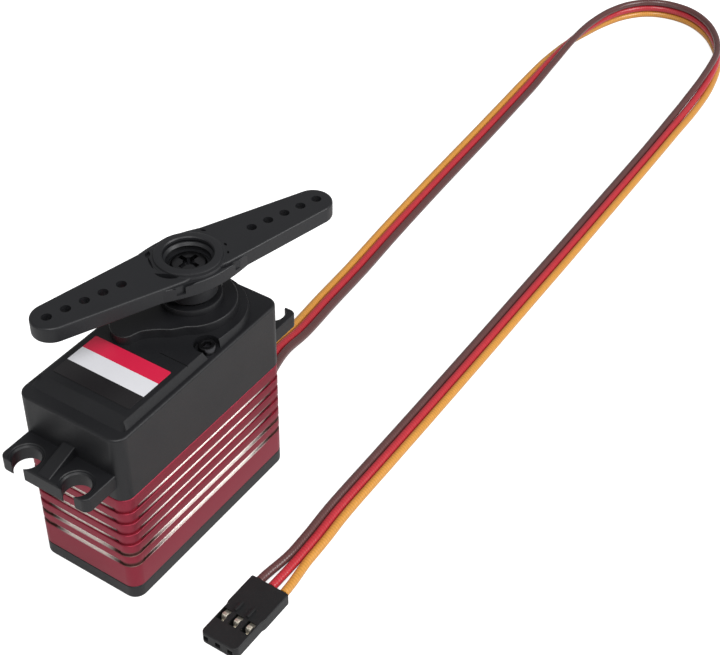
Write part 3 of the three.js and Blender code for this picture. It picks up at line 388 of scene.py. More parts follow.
def extent(node):
    """A CAD node's lowest and highest corner in millimetres."""
    low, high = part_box(node)
    return np.array(low) / MM, np.array(high) / MM


def inward(outline):
    """The mitred normals that point into a counter-clockwise outline: the sum of the two
    neighbouring edges' normals, over one more than their product."""
    ahead = np.roll(outline, -1, 0) - outline
    ahead /= np.linalg.norm(ahead, axis=1)[:, None]
    ahead = np.stack([-ahead[:, 1], ahead[:, 0]], axis=1)
    behind = np.roll(ahead, 1, 0)
    product = (ahead * behind).sum(1)
    return (ahead + behind) / np.maximum(1 + product, 0.5)[:, None]


def carried(outline, profile):
    """A wall carried round an outline: each profile point (inset, height) gives one ring, the
    outline moved in by the inset and lifted to the height."""
    rings = outline[None] + inward(outline)[None] * profile[:, None, :1]
    heights = np.broadcast_to(profile[:, None, 1:], rings.shape[:2] + (1,))
    return closed_skin(np.concatenate([rings, heights], axis=2))


def rounded_wall(bottom, top, foot, head, steps=5):
    """A wall's profile of (inset, height), with a quarter arc at its foot and one at its head."""
    turn = np.linspace(0, math.pi / 2, steps)
    lower = np.stack([foot * (1 - np.sin(turn)), bottom + foot * (1 - np.cos(turn))], axis=1)
    upper = np.stack([head * (1 - np.cos(turn)), top - head * (1 - np.sin(turn))], axis=1)
    return np.vstack([lower, upper])


def arc(x, y, radius, start, end, steps):
    """Points round a centre from one angle to another, in degrees."""
    turn = np.radians(np.linspace(start, end, steps + 1))
    return np.stack([x + radius * np.cos(turn), y + radius * np.sin(turn)], axis=1)


def rounded_box_outline(x0, x1, y0, y1, corner, steps):
    """A rectangle with quarter-circle corners, counter-clockwise."""
    return np.vstack([
        arc(x1 - corner, y1 - corner, corner, 0, 90, steps),
        arc(x0 + corner, y1 - corner, corner, 90, 180, steps),
        arc(x0 + corner, y0 + corner, corner, 180, 270, steps),
        arc(x1 - corner, y0 + corner, corner, 270, 360, steps),
    ])


def straight(outline, bottom, top):
    """An outline carried straight up."""
    return carried(outline, np.array([(0, bottom), (0, top)], float))


def block(x0, x1, y0, y1, z0, z1):
    """A plain box's skin, for cutting."""
    return straight(np.array([(x0, y0), (x1, y0), (x1, y1), (x0, y1)], float), z0, z1)


def combined(piece, operation, *skins):
    """Changes the piece by a union or difference with each skin in turn."""
    for skin in skins:
        tool = shaped("tool", skin)
        change = piece.modifiers.new("cut", "BOOLEAN")
        change.operation = operation
        change.solver = "MANIFOLD"
        change.object = tool
        view = bpy.context.evaluated_depsgraph_get()
        mesh = bpy.data.meshes.new_from_object(piece.evaluated_get(view))
        piece.modifiers.clear()
        piece.data = mesh
        bpy.data.objects.remove(tool)


def joined(*skins):
    """Skins that don't touch each other, as one skin."""
    points, faces, count = [], [], 0
    for vertices, polygons in skins:
        faces += [[count + i for i in polygon] for polygon in polygons]
        points.append(vertices)
        count += len(vertices)
    return np.vstack(points), faces


def moulded(name, colour, roughness, grain=6.0, deep=0.012):
    """Moulded plastic: a fine spark-eroded grain, with slow changes of shade and gloss."""
    finish = Finish(name)
    fine = finish.noise(grain, detail=4)
    slow = finish.noise(0.12, detail=3)
    return finish.surface(
        Base_Color=finish.mix(fine * 0.5 + slow * 0.5, shade_of(colour, 0.82), shade_of(colour, 1.22)),
        Roughness=slow * 0.16 + fine * 0.14 + (roughness - 0.15),
        Normal=finish.bump(fine, deep, 0.8),
        Specular_IOR_Level=0.36,
    )


def plate_metal(name, colour, roughness, stretch=(1, 1, 1), grain=3.0):
    """Bare or plated metal: fine marks left by the tool, along the stretched axes."""
    finish = Finish(name)
    marks = finish.noise(grain, stretch, detail=3)
    slow = finish.noise(0.2, detail=2)
    return finish.surface(
        Base_Color=finish.mix(marks * 0.6 + slow * 0.4, shade_of(colour, 0.8), shade_of(colour, 1.1)),
        Metallic=1.0,
        Roughness=marks * 0.15 + slow * 0.12 + (roughness - 0.13),
        Normal=finish.bump(marks, 0.006, 0.8),
    )


PLUG_LOW, PLUG_HIGH = extent("connector_housing")
PLUG_MOUTH, PLUG_TAIL, PLUG_TOP = PLUG_LOW[0], PLUG_HIGH[0], 2.5
PLUG_Y = (PLUG_LOW[1] + PLUG_HIGH[1]) / 2
GRIP_HALF, MATING_HALF, GRIP_LENGTH = 3.7, 3.5, 6.4
CONTACT_ROWS = [PLUG_Y + row * CONTACT_PITCH for row in (-1, 0, 1)]
CHANNEL_HALF, CHANNEL_FLOOR, CHANNEL_ROOF = 0.95, 0.35, 2.25
WINDOW, WINDOW_LENGTH, WINDOW_HALF = PLUG_MOUTH + 3.6, 2.4, 0.8
RIDGE_LENGTH, RIDGE_HALF, RIDGE_RISE = 2.1, 0.3, 0.55
CONTACT_BOTTOM, NOSE_TOP, CRIMP_TOP, TONGUE_RISE = 0.62, 1.2, 1.7, 0.55
NOSE_HALF, TONGUE_HALF, CRIMP_HALF = 0.35, 0.48, 0.72


def connector_outline():
    """The grip is a little wider than the mating end; a short slope joins them. The whole sits
    0.1 mm to one side of the contacts."""
    mouth_corner, tail_corner, slope = 0.9, 0.3, 0.7
    joint = PLUG_TAIL - GRIP_LENGTH
    half = np.vstack([
        arc(PLUG_MOUTH + mouth_corner, MATING_HALF - mouth_corner, mouth_corner, 180, 90, 6),
        [(joint - slope, MATING_HALF), (joint, GRIP_HALF)],
        arc(PLUG_TAIL - tail_corner, GRIP_HALF - tail_corner, tail_corner, 90, 0, 4),
    ])
    whole = np.vstack([half * (1, -1), half[::-1]])
    return whole + (0, PLUG_Y - 0.1)


def along_rows(x0, x1, half, z0, z1):
    """A block of the same half width on each contact's line."""
    return joined(*[block(x0, x1, y - half, y + half, z0, z1) for y in CONTACT_ROWS])


def make_connector():
    """The housing's outline carried up, with a channel, pin hole and window for each contact, and
    two low ridges behind the windows."""
    housing = shaped("connector", carried(connector_outline(), rounded_wall(0, PLUG_TOP, 0.35, 0.2)))
    channels = along_rows(PLUG_MOUTH + 1, PLUG_TAIL + 1, CHANNEL_HALF, CHANNEL_FLOOR, CHANNEL_ROOF)
    pin_holes = along_rows(PLUG_MOUTH - 1, PLUG_MOUTH + 1.5, 0.5, 0.8, 1.8)
    windows = along_rows(WINDOW, WINDOW + WINDOW_LENGTH, WINDOW_HALF, 1.4, PLUG_TOP + 1.5)
    combined(housing, "DIFFERENCE", channels, pin_holes, windows)
    start = WINDOW + WINDOW_LENGTH + 0.2
    ridge_wall = rounded_wall(PLUG_TOP - 0.1, PLUG_TOP + RIDGE_RISE, 0, 0.15, 3)
    ridges = joined(*[
        carried(rounded_box_outline(start, start + RIDGE_LENGTH, y - RIDGE_HALF, y + RIDGE_HALF, 0.2, 4),
                ridge_wall)
        for y in (PLUG_Y - CONTACT_PITCH / 2, PLUG_Y + CONTACT_PITCH / 2)
    ])
    combined(housing, "UNION", ridges)
    nylon = moulded("connector_nylon", (0.0095, 0.0098, 0.0105), 0.5, grain=4, deep=0.03)
    return finished(housing, "housing", nylon, "connector_housing")


def contact_skin(y):
    """A folded contact: rounded rectangles carried along it. A low narrow nose comes first, then
    the latch tongue that rises into the window on a ramp, then the wider crimp."""
    x = PLUG_MOUTH + np.linspace(1.3, 12.5, 90)
    ramp_up = np.clip((x - WINDOW - 1) / 0.3, 0, 1)
    ramp_down = np.clip((WINDOW + WINDOW_LENGTH - 0.35 - x) / 0.1, 0, 1)
    tongue = ramp_up * ramp_down
    nose = x < WINDOW + 1
    top = np.where(nose, NOSE_TOP, CRIMP_TOP + TONGUE_RISE * tongue)
    half = np.where(nose, NOSE_HALF, np.where(tongue > 0, TONGUE_HALF, CRIMP_HALF))
    corner = 0.12
    turn = np.radians(np.arange(0, 360, 15) + 7.5)
    across = np.sign(np.cos(turn)) * (half[:, None] - corner) + corner * np.cos(turn)
    middle, tall = (top + CONTACT_BOTTOM) / 2, (top - CONTACT_BOTTOM) / 2
    up = middle[:, None] + np.sign(np.sin(turn)) * (tall[:, None] - corner) + corner * np.sin(turn)
    return closed_skin(np.stack([np.broadcast_to(x[:, None], across.shape), y + across, up], axis=2))


connector = make_connector()
tinned = plate_metal("tinned_contact", (0.86, 0.80, 0.68), 0.5, stretch=(0.3, 1, 1), grain=2)
contacts = [
    finished(shaped(f"contact_{i + 1}", contact_skin(y)), "housing", tinned,
             f"connector_contact_{i + 1}", sharp=40)
    for i, y in enumerate(CONTACT_ROWS)
]
for wire, line, long in lead_wires:
    (line[0] * MM).tolist()
    round(long * MM, 3)
    (line * MM).tolist()


# ---- bottom cover and its screws ----------------------------------------------------------
# A shallow tray of black glass-filled nylon that closes the case. Four long cross-head screws in
# deep recesses go up through the middle case into the top case.

BODY_LOW, BODY_HIGH = extent("middle_case")
HALF_LENGTH, HALF_WIDTH = BODY_HIGH[0], BODY_HIGH[1]
BODY_CORNER, WALL = 2.2, 1.5
COVER_TOP, CASE_TOP = BODY_LOW[2], BODY_HIGH[2]
SCREW_INSET, POST_RADIUS, SCREW_BORE, HEAD_BORE = 2.4, 2.1, 1.15, 1.9
COVER_FLOOR, HEAD_SEAT = 1.5, 2.0
CORNERS = [
    (x * (HALF_LENGTH - SCREW_INSET), y * (HALF_WIDTH - SCREW_INSET)) for x in (-1, 1) for y in (-1, 1)
]


def body_outline(inset=0.0):
    """The body's rounded rectangle, moved in by an inset."""
    x, y = HALF_LENGTH - inset, HALF_WIDTH - inset
    return rounded_box_outline(-x, x, -y, y, BODY_CORNER - inset, 10)


def turned(x, y, profile, steps=64):
    """A profile of (radius, height) turned about an upright axis through x, y."""
    turn = np.linspace(0, 2 * math.pi, steps, endpoint=False)
    radius, height = np.array(profile, float).T
    rings = np.stack([
        x + radius[:, None] * np.cos(turn),
        y + radius[:, None] * np.sin(turn),
        np.broadcast_to(height[:, None], (len(radius), steps)),
    ], axis=2)
    return closed_skin(rings)


def hole(x, y, radius, bottom, top, steps=40):
    """An upright cylinder's skin, for cutting or for a post."""
    return turned(x, y, [(radius, bottom), (radius, top)], steps)


def holes(places, radius, bottom, top, steps=24):
    """The same hole at several places, as one skin."""
    return joined(*[hole(x, y, radius, bottom, top, steps) for x, y in places])


def make_bottom_cover():
    """The body's outline carried up, hollowed to a tray, with a bored post in each corner."""
    cover = shaped("cover", carried(body_outline(), rounded_wall(0, COVER_TOP, 0.45, 0.2)))
    combined(cover, "DIFFERENCE", straight(body_outline(WALL), COVER_FLOOR, COVER_TOP + 1))
    combined(cover, "UNION", *[hole(x, y, POST_RADIUS, COVER_FLOOR - 0.3, COVER_TOP) for x, y in CORNERS])
    recesses = holes(CORNERS, HEAD_BORE, -1, HEAD_SEAT, 40)
    combined(cover, "DIFFERENCE", recesses, holes(CORNERS, SCREW_BORE, -1, COVER_TOP + 1, 40))
    finished(cover, "housing", case_plastic, "bottom_cover")


def spun(skin, degrees, x=0.0, y=0.0):
    """A skin turned about the upright axis through the origin, then moved to x, y."""
    points, faces = skin
    turn = math.radians(degrees)
    turning = np.array([[math.cos(turn), math.sin(turn)], [-math.sin(turn), math.cos(turn)]])
    flat = points[:, :2] @ turning + (x, y)
    return np.column_stack([flat, points[:, 2]]), faces


def cross_cut(x, y, reach, width, bottom, top, angle):
    """Two crossed blades for a cross-head recess, as separate skins, turned by an angle."""
    blade = block(-reach, reach, -width / 2, width / 2, bottom, top)
    return [spun(blade, angle + quarter, x, y) for quarter in (0, 90)]


def make_case_screw(number, x, y):
    """A pan head facing down, with its cross, on a long plain shank."""
    head, shank, bottom, tip = 1.75, 1.0, 0.7, 32.9
    profile = [
        (1.3, bottom), (1.6, bottom + 0.08), (head, bottom + 0.3), (head, HEAD_SEAT),
        (shank, HEAD_SEAT), (shank, tip - 0.3), (shank - 0.3, tip),
    ]
    screw = shaped(f"cover_screw_{number}", turned(x, y, profile, 48))
    combined(screw, "DIFFERENCE", *cross_cut(x, y, 1.0, 0.5, 0, 1.5, 20 * number))
    finished(screw, "housing", plated_steel, f"case_screw_{number}")


case_plastic = moulded("case_nylon", (0.0080, 0.0082, 0.0095), 0.45)
plated_steel = plate_metal("plated_steel", (0.6, 0.6, 0.61), 0.3)
make_bottom_cover()
for number, (x, y) in enumerate(CORNERS, start=1):
    make_case_screw(number, x, y)


# ---- middle case --------------------------------------------------------------------------
# A block of red anodised aluminium that draws the motor's heat out. Six grooves are cut all
# round after anodising, so they show bare metal.

GROOVE_PITCH, GROOVE_HEIGHT, GROOVE_DEPTH, GROOVE_CHAMFER = 2.44, 0.85, 0.6, 0.1
FIRST_GROOVE = COVER_TOP + 4.9
GROOVES = [FIRST_GROOVE + GROOVE_PITCH * i for i in range(6)]
LEAD_WINDOW_HALF, LEAD_WINDOW_RISE = 3.5, 1.8
GEAR_FLOOR, BEARING_SEAT, BEARING_WALL = 1.5, 4.15, 5.6
SHAFT_BORE, MOTOR_BORE, PIN_BORE = 2.7, 2.35, 1.05
DECK_SCREW_BACK, DECK_SCREW_INSET = 6.25, 2.35
MOTOR_SCREW_SIDE, MOTOR_SCREW_BORE, MOTOR_HEAD_BORE = 4.2, 0.95, 1.55
# Cutters start at a height in the hollow and end above the middle case.
IN_HOLLOW, OVER_CASE = 10, 30


def middle_x(node):
    """The X of a CAD node's middle."""
    low, high = extent(node)
    return float(low[0] + high[0]) / 2


OUTPUT_X, MOTOR_X, PIN_X = middle_x("output_shaft"), middle_x("motor_shaft"), middle_x("gear_pin")
DECK_SCREWS = [(OUTPUT_X - DECK_SCREW_BACK, side * (HALF_WIDTH - DECK_SCREW_INSET)) for side in (-1, 1)]
MOTOR_SCREWS = [(MOTOR_X, side * MOTOR_SCREW_SIDE) for side in (-1, 1)]


def grooved_wall():
    """The wall's profile: a seam chamfer at each end, and each groove with chamfered lips."""
    profile = [(0.2, COVER_TOP), (0, COVER_TOP + 0.2)]
    for bottom in GROOVES:
        top = bottom + GROOVE_HEIGHT
        profile += [
            (0, bottom - GROOVE_CHAMFER), (GROOVE_CHAMFER, bottom),
            (GROOVE_DEPTH - 0.1, bottom), (GROOVE_DEPTH, bottom + 0.1),
            (GROOVE_DEPTH, top - 0.1), (GROOVE_DEPTH - 0.1, top),
            (GROOVE_CHAMFER, top), (0, top + GROOVE_CHAMFER),
        ]
    return np.array(profile + [(0, CASE_TOP - 0.2), (0.2, CASE_TOP)], float)


def points_of(piece):
    """A piece's vertices in millimetres."""
    flat = np.zeros(len(piece.data.vertices) * 3)
    piece.data.vertices.foreach_get("co", flat)
    return flat.reshape(-1, 3) / MM


def mark_bare(piece):
    """An attribute that is 1 in the grooves, where the signed distance to the rounded rectangle
    shows the skin lying inside it, and 0 on each groove's upper lip."""
    points = points_of(piece)
    apart = np.abs(points[:, :2]) - (HALF_LENGTH - BODY_CORNER, HALF_WIDTH - BODY_CORNER)
    outside = np.linalg.norm(np.maximum(apart, 0), axis=1)
    depth = BODY_CORNER - outside - np.minimum(apart.max(1), 0)
    above = (points[:, 2] - FIRST_GROOVE) % GROOVE_PITCH
    upper_lip = (depth < GROOVE_DEPTH - 0.2) & (above > GROOVE_HEIGHT - 0.2)
    bare = np.where((depth > GROOVE_CHAMFER - 0.02) & ~upper_lip, 1.0, 0.0).astype(np.float32)
    piece.data.attributes.new("bare", "FLOAT", "POINT").data.foreach_set("value", bare)


def anodised():
    """Bead-blasted red anodising, and bare aluminium where the bare mark is set. The bare metal carries a
    painted highlight:
    near white half-way along each side and painted dark brown towards the corners, broken up by streaks."""
    finish = Finish("red_anodised")
    bare = finish.node("ShaderNodeAttribute", output="Fac", attribute_name="bare")
    place = finish.node("ShaderNodeTexCoord", output="Object")
    x = finish.node("ShaderNodeSeparateXYZ", {0: place}, output="X") * (1 / (0.84 * HALF_LENGTH * MM))
    y = finish.node("ShaderNodeSeparateXYZ", {0: place}, output="Y") * (1 / (0.72 * HALF_WIDTH * MM))
    blast = finish.noise(5, detail=4)
    slow = finish.noise(0.08, detail=2)
    streaks = finish.noise(0.7, stretch=(0.12, 0.12, 6), detail=5)
    # Painted highlight: the bare metal's colour runs from dark brown by the corners to near white mid-side,
    # with streaks, standing in for reflection.
    mid_side_highlight = (1 - x * x).math("MAXIMUM", 1 - y * y).math("MAXIMUM", 0.0)
    painted_highlight = (mid_side_highlight * 1.6 + streaks * 1.6 - 0.95).math("MINIMUM", 1.0).math("MAXIMUM", 0.0)
    red = finish.mix(blast * 0.35 + slow * 0.65, (0.24, 0.024, 0.043, 1), (0.33, 0.038, 0.063, 1))
    metal = finish.mix(painted_highlight, (0.15, 0.09, 0.08, 1), (1.0, 0.97, 0.93, 1))
    return finish.surface(
        Base_Color=finish.mix(bare, red, metal),
        Metallic=bare * 0.1 + 0.88,
        Roughness=blast * 0.1 + slow * 0.08 + 0.34 + bare * (streaks * 0.2 - 0.1),
        Normal=finish.bump(blast * (1 - bare) + streaks * bare, 0.012, 0.7),
    )


def make_middle_case():
    """The grooved block, hollowed from below up to the gear floor, with its posts and bores."""
    case = shaped("grooved_case", carried(body_outline(), grooved_wall()))
    hollow = straight(body_outline(WALL), 0, CASE_TOP - 2)
    lead_window = block(HALF_LENGTH - 3, HALF_LENGTH + 1, -LEAD_WINDOW_HALF, LEAD_WINDOW_HALF,
                        LEAD_EXIT_Z - LEAD_WINDOW_RISE, LEAD_EXIT_Z + LEAD_WINDOW_RISE)
    combined(case, "DIFFERENCE", hollow, lead_window)
    posts = [hole(x, y, POST_RADIUS, COVER_TOP, CASE_TOP - GEAR_FLOOR) for x, y in CORNERS]
    combined(case, "UNION", *posts, hole(OUTPUT_X, 0, BEARING_WALL, 19.4, CASE_TOP - GEAR_FLOOR))
    combined(
        case, "DIFFERENCE",
        hole(OUTPUT_X, 0, BEARING_SEAT, 20.3, OVER_CASE),
        hole(OUTPUT_X, 0, SHAFT_BORE, IN_HOLLOW, OVER_CASE),
        hole(MOTOR_X, 0, MOTOR_BORE, IN_HOLLOW, OVER_CASE),
        hole(PIN_X, 0, PIN_BORE, 21.3, OVER_CASE, 24),
        holes(MOTOR_SCREWS, MOTOR_SCREW_BORE, IN_HOLLOW, OVER_CASE),
        holes(MOTOR_SCREWS, MOTOR_HEAD_BORE, CASE_TOP - 0.9, OVER_CASE),
        holes(CORNERS, SCREW_BORE, 0, OVER_CASE),
        holes(DECK_SCREWS, SCREW_BORE, 20, OVER_CASE),
    )
    mark_bare(case)
    finished(case, "housing", anodised(), "middle_case", sharp=50)


make_middle_case()


# ---- top case -----------------------------------------------------------------------------
# A black glass-filled nylon lid that carries the upper bearing. Its deck rises in steps to the
# bearing boss, and two slotted lugs with a rib stand out at each end.

LUG_END, _, BOSS_TOP = extent("top_case")[1].tolist()
SHOULDER, PANEL_TOP, DOME_TOP = 35.8, 37.1, 38.8
LUG_HALF_WIDTH, LUG_TOP, LUG_THICKNESS = 8.8, 28.4, 2.7
LUG_HOLE_X, LUG_HOLE_Y, LUG_HOLE_RADIUS, LUG_SLOT = 24.6, 5.08, 2.3, 2.5
RIB_LENGTH, RIB_RISE, RIB_HALF = 6.1, 1.9, 1.2
PANEL_END, PANEL_SIDE = -17.9, 9.35
PIN_WHEEL_ROOM, OUTPUT_WHEEL_ROOM, UPPER_SEAT, UPPER_BORE = 7.5, 8.7, 6.15, 3.8
POCKET_RADIUS, POCKET_MOUTH = 2.15, 1.3
OVER_BOSS = 50


def panel_skin():
    """The raised label panel: a rectangle whose output end is a half circle about the output
    axis. Its wall slopes in by 2 mm at the label end, 0.65 at the sides and 0.3 round the
    half circle, so each ring is the outline moved in by a share of those slopes."""
    outline = np.vstack([
        arc(OUTPUT_X, 0, PANEL_SIDE, -90, 90, 60),
        np.stack([np.linspace(OUTPUT_X - 1, PANEL_END + 1.5, 24), np.full(24, PANEL_SIDE)], axis=1),
        arc(PANEL_END + 0.8, PANEL_SIDE - 0.8, 0.8, 90, 180, 6),
        arc(PANEL_END + 0.8, 0.8 - PANEL_SIDE, 0.8, 180, 270, 6),
        np.stack([np.linspace(PANEL_END + 1.5, OUTPUT_X - 1, 24), np.full(24, -PANEL_SIDE)], axis=1),
    ])
    into = inward(outline)
    near = np.clip((OUTPUT_X - outline[:, 0]) / 8, 0, 1)
    near = near**2 * (3 - 2 * near)
    slope = np.stack([np.where(into[:, 0] > 0, 2.0, 0.3), 0.3 + 0.35 * near], axis=1)
    shares = np.array([
        (0, SHOULDER - 1), (0, SHOULDER),
        (0.9, PANEL_TOP - 0.16), (0.98, PANEL_TOP - 0.05), (1.1, PANEL_TOP),
    ])
    rings = outline[None] + (into * slope)[None] * shares[:, None, :1]
    heights = np.broadcast_to(shares[:, None, 1:], rings.shape[:2] + (1,))
    return closed_skin(np.concatenate([rings, heights], axis=2))


def gentle(points, steps):
    """A uniform Catmull-Rom curve that closes on itself: each span is a Hermite cubic whose end
    slopes are half the step between the neighbouring points."""
    p = np.array(points, float)
    before, after, next_after = np.roll(p, 1, 0), np.roll(p, -1, 0), np.roll(p, -2, 0)
    t = (np.arange(steps) / steps)[None, :, None]
    leave, arrive = (after - before)[:, None] / 2, (next_after - p)[:, None] / 2
    line = (
        p[:, None] * (2 * t**3 - 3 * t**2 + 1) + leave * (t**3 - 2 * t**2 + t)
        + after[:, None] * (3 * t**2 - 2 * t**3) + arrive * (t**3 - t**2)
    )
    return line.reshape(-1, 2)


def dome_skin():
    """The step under the boss: round about the output axis, with a wavy lobe over the gears."""
    around = arc(OUTPUT_X, 0, 7.5, -148, 112, 20)
    lobe = [
        (4.6, 7.9), (1.6, 8.0), (-1.4, 7.3), (-3.3, 5.6), (-4.0, 3.6), (-3.4, 2.1),
        (-2.2, 1.6), (-1.1, 1.2), (0.1, 0.1), (1.1, -1.1), (2.1, -2.6),
    ]
    return carried(gentle(np.vstack([around, lobe]), 5), rounded_wall(SHOULDER, DOME_TOP, 0, 0.22))


def lug_skin(side):
    """A lug's plate: its outline with two rounded corners, under a rounded rim."""
    inner, end, corner = HALF_LENGTH - 1, LUG_END, 1.2
    outline = np.vstack([
        [(inner, -LUG_HALF_WIDTH)],
        arc(end - corner, corner - LUG_HALF_WIDTH, corner, -90, 0, 8),
        arc(end - corner, LUG_HALF_WIDTH - corner, corner, 0, 90, 8),
        [(inner, LUG_HALF_WIDTH)],
    ])
    points, faces = carried(outline, rounded_wall(LUG_TOP - LUG_THICKNESS, LUG_TOP, 0.15, 0.28, 4))
    return points * (side, side, 1), faces


def lug_cuts(side, y):
    """A lug's hole, the slot from it to the end, and the shallow seat for a screw's washer."""
    x, bottom, top = side * LUG_HOLE_X, LUG_TOP - LUG_THICKNESS - 1, LUG_TOP + 1
    start, end = sorted([x, side * 30])
    slot = block(start, end, y - LUG_SLOT / 2, y + LUG_SLOT / 2, bottom, top)
    seat = turned(x, y, [(2.75, LUG_TOP - 0.14), (2.95, LUG_TOP + 0.06)], 48)
    rim = turned(x, y, [(LUG_HOLE_RADIUS, LUG_TOP - 0.4), (LUG_HOLE_RADIUS + 0.5, LUG_TOP + 0.1)], 48)
    return [hole(x, y, LUG_HOLE_RADIUS, bottom, top, 48), slot, seat, rim]


def lug_rib_skin(side):
    """The wedge between a lug's holes: its outline seen from the side, carried across Y."""
    inner, end = HALF_LENGTH - 1, HALF_LENGTH + RIB_LENGTH
    bottom, crest = LUG_TOP - 0.5, LUG_TOP + RIB_RISE
    outline = np.array([
        (inner, bottom), (end, bottom), (end, LUG_TOP + 0.05), (HALF_LENGTH + 0.3, crest), (inner, crest),
    ])
    points, faces = carried(outline, rounded_wall(-RIB_HALF, RIB_HALF, 0.2, 0.2, 4))
    points = np.stack([points[:, 0], -points[:, 2], points[:, 1]], axis=1)
    return points * (side, side, 1), faces


def screw_pocket(x, y):
    """A round pocket for a deck screw, open to the nearest side of the case."""
    near, far = sorted([y, 1.5 * y])
    mouth = block(x - POCKET_MOUTH, x + POCKET_MOUTH, near, far, SHOULDER, 45)
    return [hole(x, y, POCKET_RADIUS, SHOULDER, 45, 48), mouth]


def gear_room():
    """The lid's hollow, with the corner posts left standing in it, as one skin."""
    room = shaped("room", straight(body_outline(WALL), IN_HOLLOW, SHOULDER - 1.6))
    combined(room, "DIFFERENCE", *[hole(x, y, POST_RADIUS, IN_HOLLOW, SHOULDER + 10) for x, y in CORNERS])
    skin = points_of(room), [list(face.vertices) for face in room.data.polygons]
    bpy.data.objects.remove(room)
    return skin


def make_top_case():
    """The body's outline carried up, with the panel, dome, boss, lugs and ribs joined on, and then
    the lug holes, screw pockets, seam, gear room and bores cut out."""
    lid = shaped("lid", carried(body_outline(), rounded_wall(CASE_TOP, SHOULDER, 0.25, 0.45)))
    boss = [(5.1, PANEL_TOP), (5.1, BOSS_TOP - 0.3), (5.0, BOSS_TOP - 0.09), (4.8, BOSS_TOP)]
    combined(lid, "UNION", panel_skin(), dome_skin(), turned(OUTPUT_X, 0, boss, 96))
    for side in (-1, 1):
        combined(lid, "UNION", lug_skin(side), lug_rib_skin(side))
    for side in (-1, 1):
        combined(lid, "DIFFERENCE", *lug_cuts(side, -LUG_HOLE_Y), *lug_cuts(side, LUG_HOLE_Y))
    seam = block(-1.97, -1.83, -PANEL_SIDE, -3.2, PANEL_TOP - 0.15, PANEL_TOP + 0.3)
    combined(
        lid, "DIFFERENCE",
        *[skin for place in DECK_SCREWS for skin in screw_pocket(*place)],
        seam,
        gear_room(),
        hole(PIN_X, 0, PIN_WHEEL_ROOM, IN_HOLLOW, 24.9),
        hole(OUTPUT_X, 0, OUTPUT_WHEEL_ROOM, IN_HOLLOW, 32.9, 64),
        hole(OUTPUT_X, 0, UPPER_SEAT, 30, 36.7, 64),
        hole(OUTPUT_X, 0, UPPER_BORE, 30, OVER_BOSS, 64),
        hole(PIN_X, 0, PIN_BORE, 30, 35.2, 24),
        holes(CORNERS, SCREW_BORE, IN_HOLLOW, 33.2),
        holes(DECK_SCREWS, SCREW_BORE, IN_HOLLOW, OVER_BOSS),
    )
    finished(lid, "housing", case_plastic, "top_case")


make_top_case()


# ---- label and deck screws ----------------------------------------------------------------
# A printed polyester label with three plain bands, and two black socket-head screws that hold
# the lid down in their pockets.

LABEL_LOW, LABEL_HIGH = extent("top_label")
WHITE_FROM, RED_FROM = -11.15, -7.65


def printed_film():
    """Black, white and red bands across the label, each a step in X, with a soft gloss."""
    finish = Finish("printed_film")
    place = finish.node("ShaderNodeTexCoord", output="Object")
    x = finish.node("ShaderNodeSeparateXYZ", {0: place}, output="X")
    slow = finish.noise(0.15)
    black = finish.mix(slow, (0.008, 0.007, 0.008, 1), (0.012, 0.011, 0.012, 1))
    white = finish.mix(slow, (0.60, 0.60, 0.63, 1), (0.66, 0.66, 0.69, 1))
    red = finish.mix(slow, (0.52, 0.010, 0.045, 1), (0.60, 0.015, 0.058, 1))
    black_or_white = finish.mix(x > WHITE_FROM * MM, black, white)
    return finish.surface(
        Base_Color=finish.mix(x > RED_FROM * MM, black_or_white, red),
        Roughness=slow * 0.1 + 0.32,
        Normal=finish.bump(finish.noise(1.5, detail=3), 0.004, 0.6),
    )


def make_label():
    """A rectangle with small round corners, carried up by the film's thickness."""
    outline = rounded_box_outline(LABEL_LOW[0], LABEL_HIGH[0], LABEL_LOW[1], LABEL_HIGH[1], 0.3, 5)
    label = shaped("label", carried(outline, rounded_wall(PANEL_TOP, PANEL_TOP + 0.1, 0, 0.05, 3)))
    finished(label, "housing", printed_film(), "top_label")


def make_deck_screw(number, x, y):
    """A socket head with a rounded rim and a hexagon socket, on a plain shank."""
    bottom, top, shank, head, socket = PANEL_TOP - 1.3, PANEL_TOP, 1.0, 1.45, 0.78
    profile = [
        (shank, 21.3), (shank, bottom), (head, bottom),
        (head, top - 0.3), (head - 0.09, top - 0.09), (head - 0.3, top),
    ]
    screw = shaped(f"lid_screw_{number}", turned(x, y, profile, 48))
    hexagon = [(socket, top - 0.9), (socket, top - 0.1), (socket + 0.12, top + 0.1)]
    combined(screw, "DIFFERENCE", turned(x, y, hexagon, 6))
    finished(screw, "housing", black_steel, f"deck_screw_{number}")


black_steel = plate_metal("blacked_steel", (0.07, 0.07, 0.075), 0.3)
make_label()
for number, (x, y) in enumerate(DECK_SCREWS, start=1):
    make_deck_screw(number, x, y)


# ---- horn and its screw -------------------------------------------------------------------
# A glass-filled nylon double arm, pressed on the shaft's spline and held by a pan-head screw
# down in its hub. Five linkage holes run along each arm.

HORN_ANGLE, KEY_ANGLE = -18.27, -42
HORN_TOP, HORN_BOTTOM = 47.3, 44.5
HUB_BOTTOM = float(extent("horn")[0][2])
ARM_REACH, ARM_TIP, ARM_ROOT = 27.75, 3.3, 5.3
RECESS_RADIUS, RECESS_FLOOR, SPLINE_RADIUS = 4.3, 45.3, 3.11
HORN_HOLES = [(side * (12.17 + 3.25 * i), 0) for i in range(5) for side in (-1, 1)]


def arms_outline():
    """Two arms that taper from the hub to a round tip. Each tip's arc is cut short by the sides'
    lean, so that it runs on from them without a corner."""
    centre = ARM_REACH - ARM_TIP
    lean = math.degrees(math.atan2(ARM_ROOT - ARM_TIP, centre - 4))
    right = np.vstack([
        [(4, -ARM_ROOT)],
        arc(centre, 0, ARM_TIP, lean - 90, 90 - lean, 32),
        [(4, ARM_ROOT)],
    ])
    return np.vstack([right, -right])


